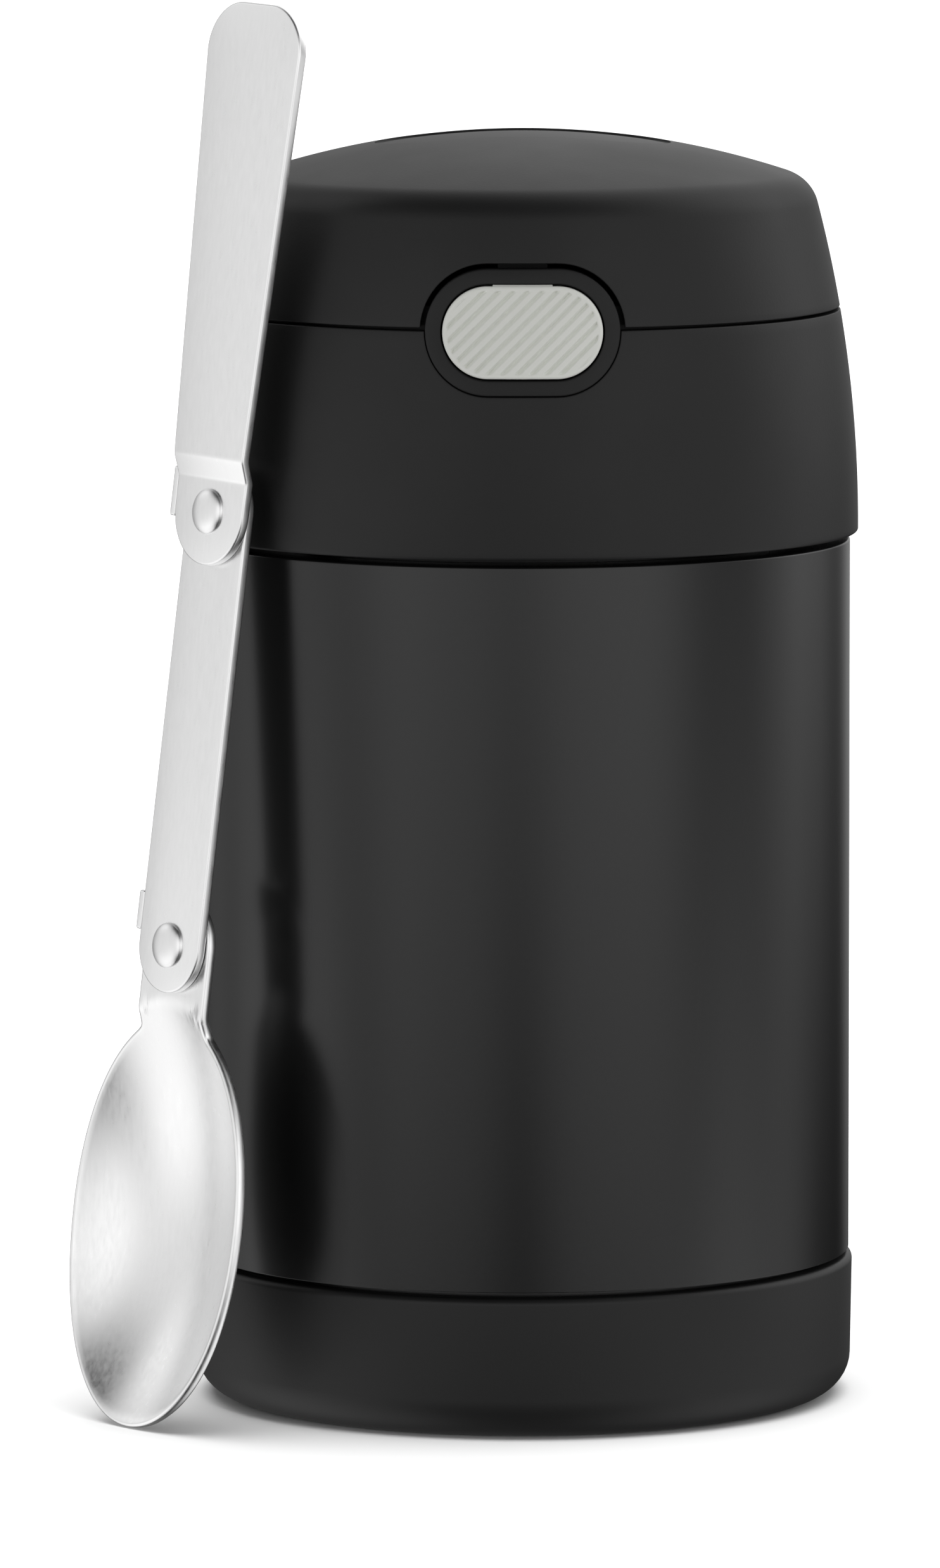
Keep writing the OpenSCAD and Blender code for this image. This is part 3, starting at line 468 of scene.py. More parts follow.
def straight_row(z, half_w):
    """(x, z) points of a level row with as many points as notch_row."""
    inner = 2 * ARC_N + TOP_N
    xs = [-PANEL_X + (PANEL_X - half_w) * k / LINE_N for k in range(LINE_N)]
    xs += [-half_w + 2 * half_w * k / inner for k in range(inner + 1)]
    xs += [half_w + (PANEL_X - half_w) * k / LINE_N for k in range(1, LINE_N + 1)]
    return [(x, z) for x in xs]


def wrap(row, inset):
    """A ring of 3-D points: the front ones stand at the row's (x, z), the rest go round the back."""
    def radius(z):
        return lid_r(z) - inset

    front = [(x, -sqrt(radius(z) ** 2 - x * x), z) for x, z in row]
    z = row[0][1]
    start = asin(PANEL_X / radius(z))
    sweep = TURN - 2 * start
    back = [start + sweep * k / BACK_N for k in range(1, BACK_N)]
    return front + [(radius(z) * sin(a), -radius(z) * cos(a), z) for a in back]


def ring_at(r, z, z_hint):
    """A ring of 3-D points with the same columns as wrap, at a radius and height off the side."""
    ring = wrap(straight_row(z_hint, LEVEL_X), 0)
    return [(x * r / hypot(x, y), y * r / hypot(x, y), z) for x, y, _ in ring]


def edge_rows(way, z_edge, half_h, half_w, wall, soft, z_calm):
    """Rings from the inner wall's level row at z_calm, over the softened edge, to the outer one."""
    steps, gather, widen = 7, 1.3, 2
    calm = straight_row(z_calm, half_w + widen)

    def fade(first, inset, order):
        """Rings between the edge's row and the level one, closer together near the edge."""
        rings = []
        for k in order:
            t = (k / steps) ** gather
            row = [(a[0] + (b[0] - a[0]) * t, a[1] + (b[1] - a[1]) * t) for a, b in zip(first, calm)]
            rings.append(wrap(row, inset))
        return rings

    inner = notch_row(way, z_edge, half_h, half_w, 0)
    rows = fade(inner, wall, range(steps, 0, -1)) + [wrap(inner, wall)]
    for a in QUARTER:
        away = soft * (1 - cos(a))
        rows.append(wrap(notch_row(way, z_edge, half_h, half_w, away), soft * (1 - sin(a))))
    return rows + fade(notch_row(way, z_edge, half_h, half_w, soft), 0, range(1, steps + 1))


def cover_mesh():
    """The cover's wall and dome as one closed skin."""
    z_calm, soft = 154.8, 0.15
    half_h, half_w = BEZEL_H / 2 + NOTCH_GAP, BEZEL_W / 2 + NOTCH_GAP
    rows = edge_rows(1, COVER_Z, half_h, half_w, COVER_WALL, soft, z_calm)
    outer = [ring_at(r, z, z_calm) for r, z in dome_profile(0, z_calm)[1:-1]] + [[(0, 0, TOP_Z)]]
    inner = [ring_at(r, z, z_calm) for r, z in dome_profile(COVER_WALL, z_calm)[1:-1]]
    inner = [[(0, 0, TOP_Z - COVER_WALL)]] + inner[::-1]
    return Shape().rows(inner + rows + outer)


def collar_mesh():
    """The collar's wall, its rounded lower edge and its inner ledge."""
    z_calm, soft, low_round, chamfer, ledge_root = 128.0, 0.12, 0.4, 0.3, 1.7
    half_h, half_w = BEZEL_H / 2 + BEZEL_GAP, BEZEL_W / 2 + BEZEL_GAP
    rows = edge_rows(-1, COLLAR_TOP_Z, half_h, half_w, COLLAR_WALL, soft, z_calm)
    outer = [ring_at(lid_r(z), z, z_calm) for z in (125, 122, 119, 116.5, WIDEST_Z)]
    for r, z in arc(COLLAR_R - low_round, COLLAR_Z + low_round, low_round, 0, -90, 6):
        outer.append(ring_at(r, z, z_calm))
    inner = [ring_at(lid_r(z) - COLLAR_WALL, z, z_calm) for z in (COLLAR_Z + chamfer, 118, 123)]
    base = ring_at(COLLAR_R - COLLAR_WALL + chamfer, COLLAR_Z, z_calm)
    shape = Shape().rows([base] + inner + rows + outer + [base])
    ledge_in = lid_r(LEDGE_LOW_Z) - COLLAR_WALL - LEDGE_W
    return shape.lathe([(ledge_in, LEDGE_LOW_Z), (lid_r(LEDGE_LOW_Z) - ledge_root, LEDGE_LOW_Z),
                        (lid_r(LEDGE_HIGH_Z) - ledge_root, LEDGE_HIGH_Z), (ledge_in, LEDGE_HIGH_Z)])


def knuckle(shape, x0, x1):
    """Adds a hinge knuckle between two places on the pin, bored for it."""
    edge, bore_edge = 0.3, 0.1
    outline = fillet([(PIN_HOLE_R, x0, bore_edge), (KNUCKLE_R, x0, edge), (KNUCKLE_R, x1, edge),
                      (PIN_HOLE_R, x1, bore_edge)], 3)
    shape.rod_x(PIN_Y, PIN_Z, outline)


def rod(x0, x1, r):
    """A closed cylinder round the hinge pin's line, for cutting."""
    return Shape().rod_x(PIN_Y, PIN_Z, [(0, x0), (r, x0), (r, x1), (0, x1)], 96)


def block(x0, x1, y0, y1, z0, z1):
    """A box between those places."""
    shape = Shape()
    low = [(x0, y0, z0), (x1, y0, z0), (x1, y1, z0), (x0, y1, z0)]
    high = [(x, y, z1) for x, y, _ in low]
    shape.rows([low, high])
    return shape.face(low[::-1]).face(high)


def dome_recess(w, d, depth):
    """Cutter for a shallow oval recess on top of the dome, with a floor that follows the dome."""
    run, r = (w - d) / 2, d / 2
    outline = [(run + x, y) for x, y in arc(0, 0, r, -90, 90, 32)]
    outline = resample(outline + [(-x, -y) for x, y in outline], 1.5)

    def ring(t, lift):
        return [(x * t, y * t, DOME_C.y + sqrt(DOME_R ** 2 - (x * x + y * y) * t * t) + lift)
                for x, y in outline]

    floor_n, corner, rim, above = 12, 0.12, 0.3, 1
    rows = [[(0, 0, TOP_Z - depth)]] + [ring(k / floor_n, -depth) for k in range(1, floor_n)]
    rows += [ring(0.985, -depth), ring(0.995, corner - depth), ring(1, rim)]
    rows.append([(x, y, TOP_Z + above) for x, y, _ in rows[-1]])
    return Shape().rows(rows).face(rows[-1])


def build_cover():
    """Flip cover with its recess, its two hinge knuckles and the catch that the hook holds."""
    ear_gap, catch_sink = 0.3, 0.5
    cover = piece("cover_skin", cover_mesh(), SOFT_BLACK, "cover", "soft_black_plastic", ["cover_shell"])
    reach = HINGE_EAR_W + ear_gap
    cuts = [rod(-COVER_KNUCKLE_X, COVER_KNUCKLE_X, KNUCKLE_CUT_R)]
    knuckles = Shape()
    for side in (-1, 1):
        middle = side * (HINGE_EAR_X + HINGE_EAR_W / 2)
        cuts.append(rod(middle - reach / 2, middle + reach / 2, KNUCKLE_CUT_R))
        knuckle(knuckles, *sorted((side * COVER_KNUCKLE_X, side * (COVER_KNUCKLE_X + COVER_KNUCKLE_W))))
    cuts.append(dome_recess(RECESS_W, RECESS_D, RECESS_DEPTH))
    carve(cover, cuts)
    add_to(cover, knuckles)
    front_y = -lid_r(CATCH_ROOT_Z) + COVER_WALL - catch_sink
    add_to(cover, block(-CATCH_W / 2, CATCH_W / 2, front_y, CATCH_BACK_Y, CATCH_LOW_Z, CATCH_HIGH_Z))


def add_to(obj, shape):
    """Joins more closed shapes to an object's mesh."""
    extra = piece("extra", shape, obj.data.materials[0], None, obj["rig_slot"])
    bm = bmesh.new()
    bm.from_mesh(obj.data)
    bm.from_mesh(extra.data)
    bm.to_mesh(obj.data)
    bm.free()
    shade(obj.data)
    bpy.data.objects.remove(extra)


def build_collar():
    """The screw lid's wall, with the two ears that hold the hinge pin."""
    cut_x, ear_inset = HINGE_EAR_X - 0.15, 0.05
    collar = piece("collar_skin", collar_mesh(), SOFT_BLACK, "lid", "soft_black_plastic", ["lid_collar"])
    carve(collar, [rod(-cut_x, cut_x, KNUCKLE_CUT_R)])
    root_y, flank_y, back_y = PIN_Y - 1.3, PIN_Y + 0.9, PIN_Y + 1.8
    foot_z, bend_z = COLLAR_TOP_Z - 5, COLLAR_TOP_Z - 1
    profile = [(root_y, foot_z), (flank_y, foot_z), (back_y, bend_z), (back_y, PIN_Z - 0.6),
               (flank_y, PIN_Z - 1.2), (root_y, PIN_Z - 1.2)]
    ears = Shape()
    for side in (-1, 1):
        x0, x1 = sorted((side * HINGE_EAR_X, side * (HINGE_EAR_X + HINGE_EAR_W)))
        knuckle(ears, x0, x1)
        rows = [[(x, y, z) for y, z in profile] for x in (x0 + ear_inset, x1 - ear_inset)]
        ears.rows(rows).face(rows[0][::-1]).face(rows[1])
    add_to(collar, ears)


# ---- Base, bezel and button ----
def build_base():
    """Cup over the jar's foot, with a groove for the foot ring."""
    ring_out, ring_in, ring_t, ring_edge = 32.0, 26.5, 1.5, 0.2
    foot_r, foot_round, top_round, inner_round = BASE_R - 0.35, 5.3, 0.9, 0.3
    wall_in, floor_z = BASE_R - 2.4, 2.6
    profile = fillet([(0, 0, 0), (ring_in, 0, ring_edge), (ring_in, ring_t, 0), (ring_out, ring_t, 0),
                      (ring_out, 0, ring_edge), (foot_r, 0, foot_round), (BASE_R, BASE_H, top_round),
                      (wall_in, BASE_H, inner_round), (wall_in, floor_z, 0), (0, floor_z, 0)], 10)
    piece("base_cup_skin", Shape().lathe(profile), SOFT_BLACK, "vessel", "soft_black_plastic", ["base_cup"])


def build_shell_side():
    """Painted skin over the shell's side and shoulder, with a tighter rolled edge than the CAD's."""
    proud, skin_t, neck_lip, low_edge, neck_edge = 0.03, 0.5, 0.8, 0.12, 0.2
    low, high = BASE_H + BASE_SEAM, COLLAR_Z - SHELL_GAP
    out, neck = BODY_R + proud, BODY_R - SHOULDER_W + neck_lip
    inner_top, outer_top = COLLAR_Z - 1.2, COLLAR_Z - 1.7
    profile = fillet([(out - skin_t, low, 0), (out, low, low_edge), (out, high, SHOULDER_ROUND),
                      (neck, high, neck_edge), (neck, inner_top, 0), (out - skin_t, outer_top, 0)])
    piece("shell_skin", Shape().lathe(profile), PAINT, "vessel", "satin_black_paint")


def oval_path(w, h):
    """Anticlockwise (x, z) outline of an oval about the button's centre."""
    round_n, flat_n = 32, 16
    run, r = (w - h) / 2, h / 2
    turns = [pi * k / round_n for k in range(round_n + 1)]
    half = [(run + r * sin(a), -r * cos(a)) for a in turns]
    half += [(run - 2 * run * k / flat_n, r) for k in range(1, flat_n)]
    return half + [(-x, -z) for x, z in half]


def on_front(path, inset):
    """Points of an (x, z) path laid on the lid's front, drawn in by inset."""
    out = []
    for x, z in path:
        r = lid_r(BUTTON_Z + z) - inset
        out.append((x, -sqrt(r * r - x * x), BUTTON_Z + z))
    return out


def build_bezel():
    """Oval frame round the button, with softened edges."""
    soft = 0.2
    hole_w, hole_h = BUTTON_W + 2 * BUTTON_GAP, BUTTON_H + 2 * BUTTON_GAP

    def edge(w, h, sign, turns):
        rings = []
        for a in turns:
            away = sign * 2 * soft * (1 - cos(a))
            rings.append(on_front(oval_path(w - away, h - away), soft * (1 - sin(a))))
        return rings

    rows = [on_front(oval_path(BEZEL_W, BEZEL_H), BEZEL_T)]
    rows += edge(BEZEL_W, BEZEL_H, 1, QUARTER)
    rows += edge(hole_w, hole_h, -1, QUARTER[::-1])
    rows += [on_front(oval_path(hole_w, hole_h), BEZEL_T), rows[0]]
    piece("bezel_skin", Shape().rows(rows), INNER_BLACK, "lid", "inner_black_plastic", ["button_bezel"])


def build_button():
    """Oval button with slanting grooves, a plain border and a straight lip on top."""
    across, down = 400, 230
    soft, border, fade, depth = 0.4, 0.5, 0.3, 1.55
    groove, pitch, half_groove, slant_x, slant_z = 0.53, 1.31, 0.24, 0.7, 0.714
    lip_w, lip_h = 3.8, 0.18
    groove_sharp = 85    # degrees, so that the grooves' upper edges stay smooth
    run, r = (BUTTON_W - BUTTON_H) / 2, BUTTON_H / 2

    def surface(x, z):
        """How far the face lies behind the proud surface."""
        inside = r - hypot(max(0.0, abs(x) - run), z)
        edge = soft - sqrt(max(0.0, soft ** 2 - (soft - min(soft, max(0.0, inside))) ** 2))
        phase = ((x * slant_x - z * slant_z) / pitch) % 1
        step = max(0.0, 1 - abs(phase - 0.5) / half_groove)
        calm = min(1.0, max(0.0, (inside - border) / fade))
        return edge + groove * step * calm * calm * (3 - 2 * calm)

    rows = []
    for k in range(down + 1):
        z = -r * cos(pi * k / down)
        half = run + sqrt(max(0.0, r * r - z * z))
        row = []
        for i in range(across + 1):
            t = 2 * i / across - 1
            x = half * (1.5 * t - 0.5 * t ** 3)    # columns gather at both ends
            up = lip_h if k == down and abs(x) < lip_w else 0.0
            row.append(on_front([(x, z + up)], surface(x, z) - BUTTON_PROUD)[0])
        rows.append(row)
    left, right = ([row[i] for row in rows[1:-1]] for i in (0, -1))
    rim = rows[0] + right + rows[-1][::-1] + left[::-1]
    back = [(x, y + depth, z) for x, y, z in rim]
    face = Shape().rows(rows, closed=False).rows([rim, back]).face(back)
    piece("button_skin", face, GREY, "button", "warm_grey_plastic", ["button_cap"], sharp=groove_sharp)


# ---- Spoon ----
def spoon_place():
    """Matrix from the spoon's own frame, in metres, to where the CAD holds it."""
    joints = {joint["name"]: joint for joint in frame["joints"]}
    axis = Vector(joints["link_fold"]["axis"])
    face = -axis.normalized() if axis.z < 0 else axis
    rivet, upper = (Vector(joints[name]["pos_m"]) for name in ("link_fold", "handle_fold"))
    up = (upper - rivet).normalized()
    up = (up - face * up.dot(face)).normalized()
    right = up.cross(face)
    turn = Matrix((right, up, face)).transposed().to_4x4()
    return Matrix.Translation(rivet) @ turn @ Matrix.Translation((0, -LINK_RIVET_Y * MM, 0))


def plate(shape, outline, z0, z1, bends=(), lift=None):
    """Adds a sheet-metal plate with rounded edges. bends are heights y where it is divided, and lift(y)
    moves it in z."""
    normals = outward(outline)

    def ring(inset, z):
        return [(x - n.x * inset, y - n.y * inset, z) for (x, y), n in zip(outline, normals)]

    rows = [ring(PLATE_SOFT * (1 - sin(a)), z0 + PLATE_SOFT * (1 - cos(a))) for a in QUARTER]
    rows += [ring(PLATE_SOFT * (1 - sin(a)), z1 - PLATE_SOFT * (1 - cos(a))) for a in QUARTER[::-1]]
    part = Shape().rows(rows).face(rows[0][::-1]).face(rows[-1])
    if bends:
        weld, on_plane = 0.001, 0.0005
        bm = bmesh.new()
        verts = [bm.verts.new(v) for v in part.verts]
        for f in part.faces:
            bm.faces.new([verts[i] for i in f])
        bmesh.ops.remove_doubles(bm, verts=bm.verts, dist=weld)
        for y in bends:
            bmesh.ops.bisect_plane(bm, geom=bm.verts[:] + bm.edges[:] + bm.faces[:], dist=on_plane,
                                   plane_co=(0, y, 0), plane_no=(0, 1, 0))
        bm.verts.index_update()
        part = Shape()
        part.verts = [v.co + Vector((0, 0, lift(v.co.y))) for v in bm.verts]
        part.faces = [tuple(v.index for v in f.verts) for f in bm.faces]
        bm.free()
    start = len(shape.verts)
    shape.verts += part.verts
    shape.faces += [tuple(i + start for i in f) for f in part.faces]
    return shape


def rivet_shape(y, z_top, z_back, back_h):
    """A domed rivet, with a plain dome of height back_h behind, or a flush end if that is 0."""
    r, h, edge, shank_r = 3.0, 0.9, 0.1, 1.5
    flush_r, flush, flush_h = 2.3, 0.02, 0.8
    turns = [pi / 2 * k / 12 for k in range(12)]
    front = [(r, z_top)] + [(r * cos(a) ** 0.75, z_top + edge + (h - edge) * sin(a)) for a in turns]
    front.append((0, z_top + h))
    if back_h:
        dome = ((0, 1), (1.2, 0.86), (2.2, 0.55), (2.8, 0.2))
        back = [(radius, z_back - back_h * share) for radius, share in dome]
        back += [(r, z_back), (shank_r, z_back)]
    else:
        back = [(0, z_back + flush), (flush_r, z_back + flush), (shank_r, z_back + flush_h)]
    back.append((shank_r, z_top))
    return Shape().rows([[(radius * cos(a), y + radius * sin(a), z) for a in ring_angles(radius, 48)]
                         for radius, z in back + front])


def cap_r(half, depth):
    """Radius of the circle whose cap has that half width and depth."""
    return (half ** 2 + depth ** 2) / (2 * depth)


def bowl_half_width(y):
    """Half width of the bowl's rim at y, measured from its tip."""
    cross, along = cap_r(BOWL_W / 2, BOWL_DEPTH), cap_r(BOWL_L / 2, BOWL_DEPTH)
    rho = hypot(along - BOWL_DEPTH, y - BOWL_L / 2) - (along - cross)
    return sqrt(max(0.0, cross ** 2 - rho ** 2))


def bowl_outline():
    """Anticlockwise outline of the bowl, its neck and the tang's round end."""
    steps, blend = 150, 0.8
    half_l, neck = BOWL_L / 2, TANG_W / 2
    side = []
    for k in range(1, steps):
        y = half_l - half_l * cos(pi * k / steps)
        w = bowl_half_width(y)
        if y > half_l:
            w = (w + neck + sqrt((w - neck) ** 2 + blend ** 2)) / 2
            w -= (sqrt(neck ** 2 + blend ** 2) - neck) / 2 * ((y - half_l) / half_l) ** 2
        side.append((w, y))
    side += [(neck, y) for y in (54.4, 55, 55.6, 56.2, 57, 58.5, 60, 61.5)]
    end = arc(0, LINK_RIVET_Y, neck, 0, 180, 36)
    return [(0, 0)] + side + end + [(-x, y) for x, y in reversed(side)]


def bowl_height(x, y):
    """Height of the sheet's middle in the spoon's frame."""
    tip_z, dip_l, depth, end_margin = 0.83, 9, 6.35, 0.4
    flat, soft = PLATE_T / 2, 0.2
    rim_z = tip_z - BOWL_DIP * (1 - exp(-y / dip_l))
    cross, along = cap_r(BOWL_W / 2 - RIM_MARGIN, depth), cap_r(BOWL_L / 2 - end_margin, depth)
    across = along - cross + sqrt(max(0.0, cross ** 2 - x * x))
    v = y - BOWL_L / 2
    dish = rim_z - depth + along - sqrt(max(0.0, across ** 2 - v * v))
    return (dish + flat - sqrt((dish - flat) ** 2 + soft ** 2)) / 2


def bowl_sheet():
    """Pressed bowl and tang of one sheet, thickened evenly, with a rounded rim."""
    half_t, soft, step = PLATE_T / 2, 0.42, 0.02
    rings, gather, rim_n, steep = 40, 0.9, 4, 3
    outline = bowl_outline()
    normals = outward(outline)
    centre = Vector((0, BOWL_L / 2))

    def sheet_at(x, y):
        """Point of the sheet's middle and the normal there."""
        dx = (bowl_height(x + step, y) - bowl_height(x - step, y)) / (2 * step)
        dy = (bowl_height(x, y + step) - bowl_height(x, y - step)) / (2 * step)
        return Vector((x, y, bowl_height(x, y))), Vector((-dx, -dy, 1)).normalized()

    rim = [Vector(p) - n * RIM_MARGIN for p, n in zip(outline, normals)]
    top, bottom = [], []
    for t in ((k / rings) ** gather for k in range(1, rings + 1)):
        sheet = [sheet_at(*(centre + (p - centre) * t)) for p in rim]
        top.append([spot + normal * half_t for spot, normal in sheet])
        bottom.append([spot - normal * half_t for spot, normal in sheet])
    edge = []
    for k in range(2 * rim_n + 1):
        a = radians(90 - 90 * k / rim_n)
        side = 1 if k < rim_n else -1 if k > rim_n else 0
        ring = []
        for p, n in zip(rim, normals):
            spot, normal = sheet_at(*p)
            normal = (normal + Vector((0, 0, steep))).normalized()
            along = Vector((n.x, n.y, 0))
            along = (along - normal * along.dot(normal)).normalized()
            ring.append(spot + along * soft * cos(a) + normal * ((half_t - soft) * side + soft * sin(a)))
        edge.append(ring)
    middle, up = sheet_at(*centre)[0], Vector((0, 0, half_t))
    return Shape().rows([[middle + up]] + top + edge + bottom[::-1] + [[middle - up]])


def ear(shape, left, y, length, z0):
    """Adds a folded ear at the left edge: a flat tab that turns up into a stop."""
    root, outer, top, corner, edge, sink = left + 6, left + STOP_T, y + length, 0.5, 0.3, 0.2
    flat = fillet([(left, y, corner), (root, y, 0), (root, top, 0), (left, top, corner)], 4)
    plate(shape, flat, z0, z0 + PLATE_T)
    stop = fillet([(left, y, edge), (outer, y, edge), (outer, top, edge), (left, top, edge)], 3)
    plate(shape, stop, z0 + sink, z0 + STOP_TALL)


def link_plate():
    """Middle plate with round ends."""
    half = LINK_W / 2
    outline = arc(0, LINK_RIVET_Y, half, 180, 360, 30) + arc(0, HANDLE_RIVET_Y, half, 0, 180, 30)
    return plate(Shape(), outline, LINK_Z, LINK_Z + PLATE_T)


def handle_plate():
    """Handle with a round tab at its rivet and a joggle that lifts its grip."""
    low, high, neck = HANDLE_RIVET_Y + 3.9, HANDLE_RIVET_Y + 7.4, TAB_R + 0.15
    corner_y, corner_x = HANDLE_TOP_Y - HANDLE_ROUND, HANDLE_W / 2 - HANDLE_ROUND
    side = [(neck, high)] + arc(corner_x, corner_y, HANDLE_ROUND, 3, 90, 16)
    outline = arc(0, HANDLE_RIVET_Y, TAB_R, 180, 360, 36) + side + [(-x, y) for x, y in reversed(side)]

    def ease(t):
        """Rises between the joggle's two bends, and is rounded at both."""
        first, first_soft, second, second_soft = 0.1, 0.003, 0.86, 0.006
        return (sqrt((t - first) ** 2 + first_soft) - sqrt((t - second) ** 2 + second_soft)) / 2

    def lift(y):
        t = min(1.0, max(0.0, (y - low) / (high - low)))
        return HANDLE_STEP * (ease(t) - ease(0)) / (ease(1) - ease(0))

    bends = [low + (high - low) * k / 28 for k in range(29)]
    return plate(Shape(), resample(outline, 4), TAB_Z, TAB_Z + PLATE_T, bends=bends, lift=lift)


def build_spoon():
    """Bowl, link and handle with their stops and rivets, placed where the CAD holds the spoon."""
    place, stop_y, back_dome = spoon_place(), 1.3, 0.7
    bowl, link = bowl_sheet(), link_plate()
    ear(bowl, -LINK_W / 2 - STOP_GAP - STOP_T, LINK_RIVET_Y + stop_y, 5.1, 0)
    ear(link, -TAB_R - STOP_GAP - STOP_T, HANDLE_RIVET_Y - stop_y, 6.5, LINK_Z)
    lower = rivet_shape(LINK_RIVET_Y, LINK_Z + PLATE_T, 0, back_dome)
    upper = rivet_shape(HANDLE_RIVET_Y, TAB_Z + PLATE_T, LINK_Z, 0)
    for node, shape, body in (("spoon_bowl", bowl, "spoon"), ("spoon_link", link, "link"),
                              ("spoon_handle", handle_plate(), "handle"),
                              ("link_rivet", lower, "spoon"), ("handle_rivet", upper, "link")):
        piece(f"{node}_skin", shape, SPOON, body, "spoon_steel", [node], place)


# ---- Springs ----
def coil_points(turns, length, r):
    """Points of a helix round the z axis."""
    per_turn = 40
    count = round(turns * per_turn)
    return [(r * cos(TURN * k / per_turn), r * sin(TURN * k / per_turn), length * k / count)
            for k in range(count + 1)]


def wire(points, r):
    """Round wire along a list of points."""
    rows, sides, side = [], 12, None
    last = len(points) - 1
    for k, p in enumerate(points):
        p = Vector(p)
        ahead = (Vector(points[min(last, k + 1)]) - Vector(points[max(0, k - 1)])).normalized()
        side = ahead.orthogonal() if side is None else side - ahead * side.dot(ahead)
        side.normalize()
        other = ahead.cross(side)
        rows.append([p + side * r * cos(TURN * i / sides) + other * r * sin(TURN * i / sides)
                     for i in range(sides)])
    return Shape().rows([[points[0]]] + rows + [[points[-1]]])


def build_button_spring():
    """Compression spring behind the button."""
    low, high = (1000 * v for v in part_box("button_spring"))
    wire_r, turns, travel = 0.3, 7, 2.2
    r, length = (high.x - low.x) / 2 - wire_r, high.y - low.y
    points = [(x, high.y - wire_r - y * (length - 2 * wire_r) / length, BUTTON_Z + z)
              for x, z, y in coil_points(turns, length, r)]
    spring = piece("button_spring_coil", wire(points, wire_r), SPRING, "lid", "spring_steel",
                   ["button_spring"])
    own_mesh(spring)


def build_hinge_spring():
    """Torsion spring round the hinge pin, with a leg on the cover and one on the collar."""
    wire_r, room, r, turns = 0.25, 5.0, 1.35, 6
    cover_leg, collar_leg = 1.5, 1.8
    spin = pi / 2 + radians(13)
    coil = [(along - room / 2 + wire_r, PIN_Y + x * cos(spin) - y * sin(spin),
             PIN_Z + x * sin(spin) + y * cos(spin))
            for x, y, along in coil_points(turns, room - 2 * wire_r, r)]

    def leg(at, inner, length):
        """End of the leg that carries the coil's last stretch straight on."""
        return tuple(Vector(at) + (Vector(at) - Vector(inner)).normalized() * length)

    points = [leg(coil[0], coil[1], cover_leg)] + coil + [leg(coil[-1], coil[-2], collar_leg)]
    spring = piece("hinge_spring_coil", wire(points, wire_r), SPRING, None, "spring_steel",
                   ["hinge_spring"])
    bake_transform(spring)


# ---- Camera, floor and light ----
CAMERA_LENS, CAMERA_SENSOR, CAMERA_FAR = 282.2, 36, 50               # mm, mm and m
CAMERA_PLACE = (0, -1.60998, 0.26291)                                # m
CAMERA_YAW, CAMERA_PITCH, CAMERA_ROLL = -0.2484, -6.4623, -0.0704    # degrees

FLOOR_HALF, FLOOR_DROP = 30, 0.00002    # m
FLOOR_LIGHT, FLOOR_LIGHT_ANGLE = 3.9, 70

# Soft lights all round the jar, by height and half width in degrees. Each has an azimuth, from the
# camera's side to the jar's right, and a strength, fitted to the photograph's brightness.
LIGHTS = {(8, 40): {-120: 0.354, -90: 0.442, -60: 0.425, -30: 0.847, 0: 0.216, 30: 1.031, 60: 0.327},
          (8, 22): {105: 0.69, 120: 0.547, 135: 0.223, 165: 0.716},
          (45, 45): {120: 0.854},
          (35, 30): {60: 0.176, 90: 0.339, 120: 0.671, 180: 1.098, -120: 0.592},
          (70, 35): {180: 0.455},
          (-20, 30): {70: 0.218},
          (-40, 45): {-150: 0.151, -90: 1.07, 90: 0.95}}


def build_camera():
    """Camera fitted to the photograph's view."""
    camera = bpy.data.objects.new("camera", bpy.data.cameras.new("camera"))
    camera.data.lens = CAMERA_LENS
    camera.data.sensor_width = CAMERA_SENSOR
    camera.data.clip_end = CAMERA_FAR
    yaw, pitch, roll = radians(CAMERA_YAW), radians(CAMERA_PITCH), radians(CAMERA_ROLL)
    ahead = Vector((sin(yaw) * cos(pitch), cos(yaw) * cos(pitch), sin(pitch)))
    right = ahead.cross(Vector((0, 0, 1))).normalized()
    up = right.cross(ahead)
    right, up = right * cos(roll) + up * sin(roll), up * cos(roll) - right * sin(roll)
    turn = Matrix((right, up, -ahead)).transposed().to_4x4()
    camera.matrix_world = Matrix.Translation(CAMERA_PLACE) @ turn
    bpy.context.scene.collection.objects.link(camera)
    bpy.context.scene.camera = camera


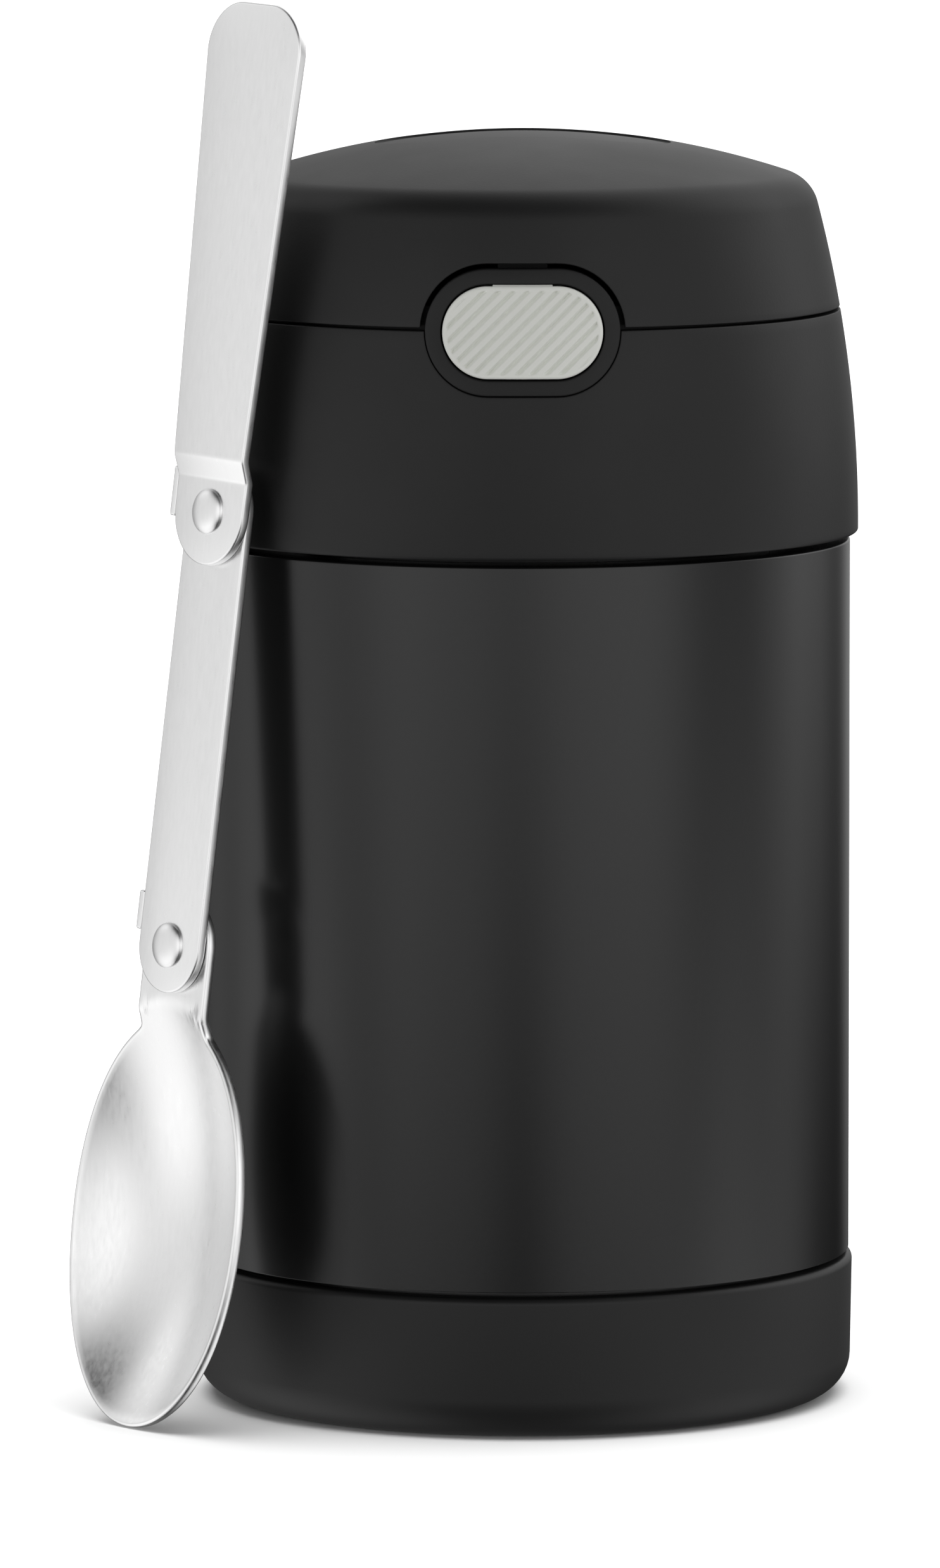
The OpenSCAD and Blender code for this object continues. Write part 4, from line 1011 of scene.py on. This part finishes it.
def build_floor():
    """Plain pale floor, with an overhead light of its own that keeps it white."""
    size = FLOOR_HALF
    mesh = bpy.data.meshes.new("floor")
    mesh.from_pydata([(-size, -size, 0), (size, -size, 0), (size, size, 0), (-size, size, 0)], [],
                     [(0, 1, 2, 3)])
    n = Nodes("floor")
    n.tint(n.noise(3, 2), *shades((0.8, 0.8, 0.8), 0.005))
    mesh.materials.append(n.set(Roughness=1.0, Specular_IOR_Level=0.0))
    floor = bpy.data.objects.new("floor", mesh)
    floor.location.z = -FLOOR_DROP
    floor.visible_glossy = floor.visible_diffuse = floor.visible_shadow = False
    bpy.context.scene.collection.objects.link(floor)

    light = bpy.data.lights.new("floor_light", "SUN")
    light.energy = FLOOR_LIGHT
    light.angle = radians(FLOOR_LIGHT_ANGLE)
    lamp = bpy.data.objects.new("floor_light", light)
    bpy.context.scene.collection.objects.link(lamp)
    lit = bpy.data.collections.new("lit_by_floor_light")
    lit.objects.link(floor)
    lamp.light_linking.receiver_collection = lit


def soft_light(tree, direction, height, width, azimuth, strength):
    """Strength of one soft light, as seen along a direction."""
    a, h = radians(azimuth), radians(height)
    dot = tree.nodes.new("ShaderNodeVectorMath")
    dot.operation = "DOT_PRODUCT"
    tree.links.new(direction, dot.inputs[0])
    dot.inputs[1].default_value = (sin(a) * cos(h), -cos(a) * cos(h), sin(h))
    ramp = tree.nodes.new("ShaderNodeMapRange")
    ramp.interpolation_type = "SMOOTHSTEP"
    tree.links.new(dot.outputs["Value"], ramp.inputs["Value"])
    for key, value in (("From Min", cos(radians(width))), ("From Max", 1), ("To Min", 0),
                       ("To Max", strength)):
        ramp.inputs[key].default_value = value
    return ramp.outputs["Result"]


def build_world():
    """Soft studio light from far away, the sum of the lights above."""
    world = bpy.context.scene.world or bpy.data.worlds.new("studio")
    bpy.context.scene.world = world
    world.use_nodes = True
    tree = world.node_tree
    tree.nodes.clear()
    out = tree.nodes.new("ShaderNodeOutputWorld")
    back = tree.nodes.new("ShaderNodeBackground")
    tree.links.new(back.outputs["Background"], out.inputs["Surface"])
    coord = tree.nodes.new("ShaderNodeTexCoord").outputs["Generated"]
    total = None
    for (height, width), ring in LIGHTS.items():
        for azimuth, strength in ring.items():
            light = soft_light(tree, coord, height, width, azimuth, strength)
            if total is None:
                total = light
                continue
            add = tree.nodes.new("ShaderNodeMath")
            tree.links.new(total, add.inputs[0])
            tree.links.new(light, add.inputs[1])
            total = add.outputs["Value"]
    tree.links.new(total, back.inputs["Color"])


build_camera()
build_floor()
build_world()
bpy.context.scene.view_settings.view_transform = "Standard"
finish_cad_nodes()
build_base()
build_shell_side()
build_collar()
build_cover()
build_bezel()
build_button()
build_spoon()
build_button_spring()
build_hinge_spring()
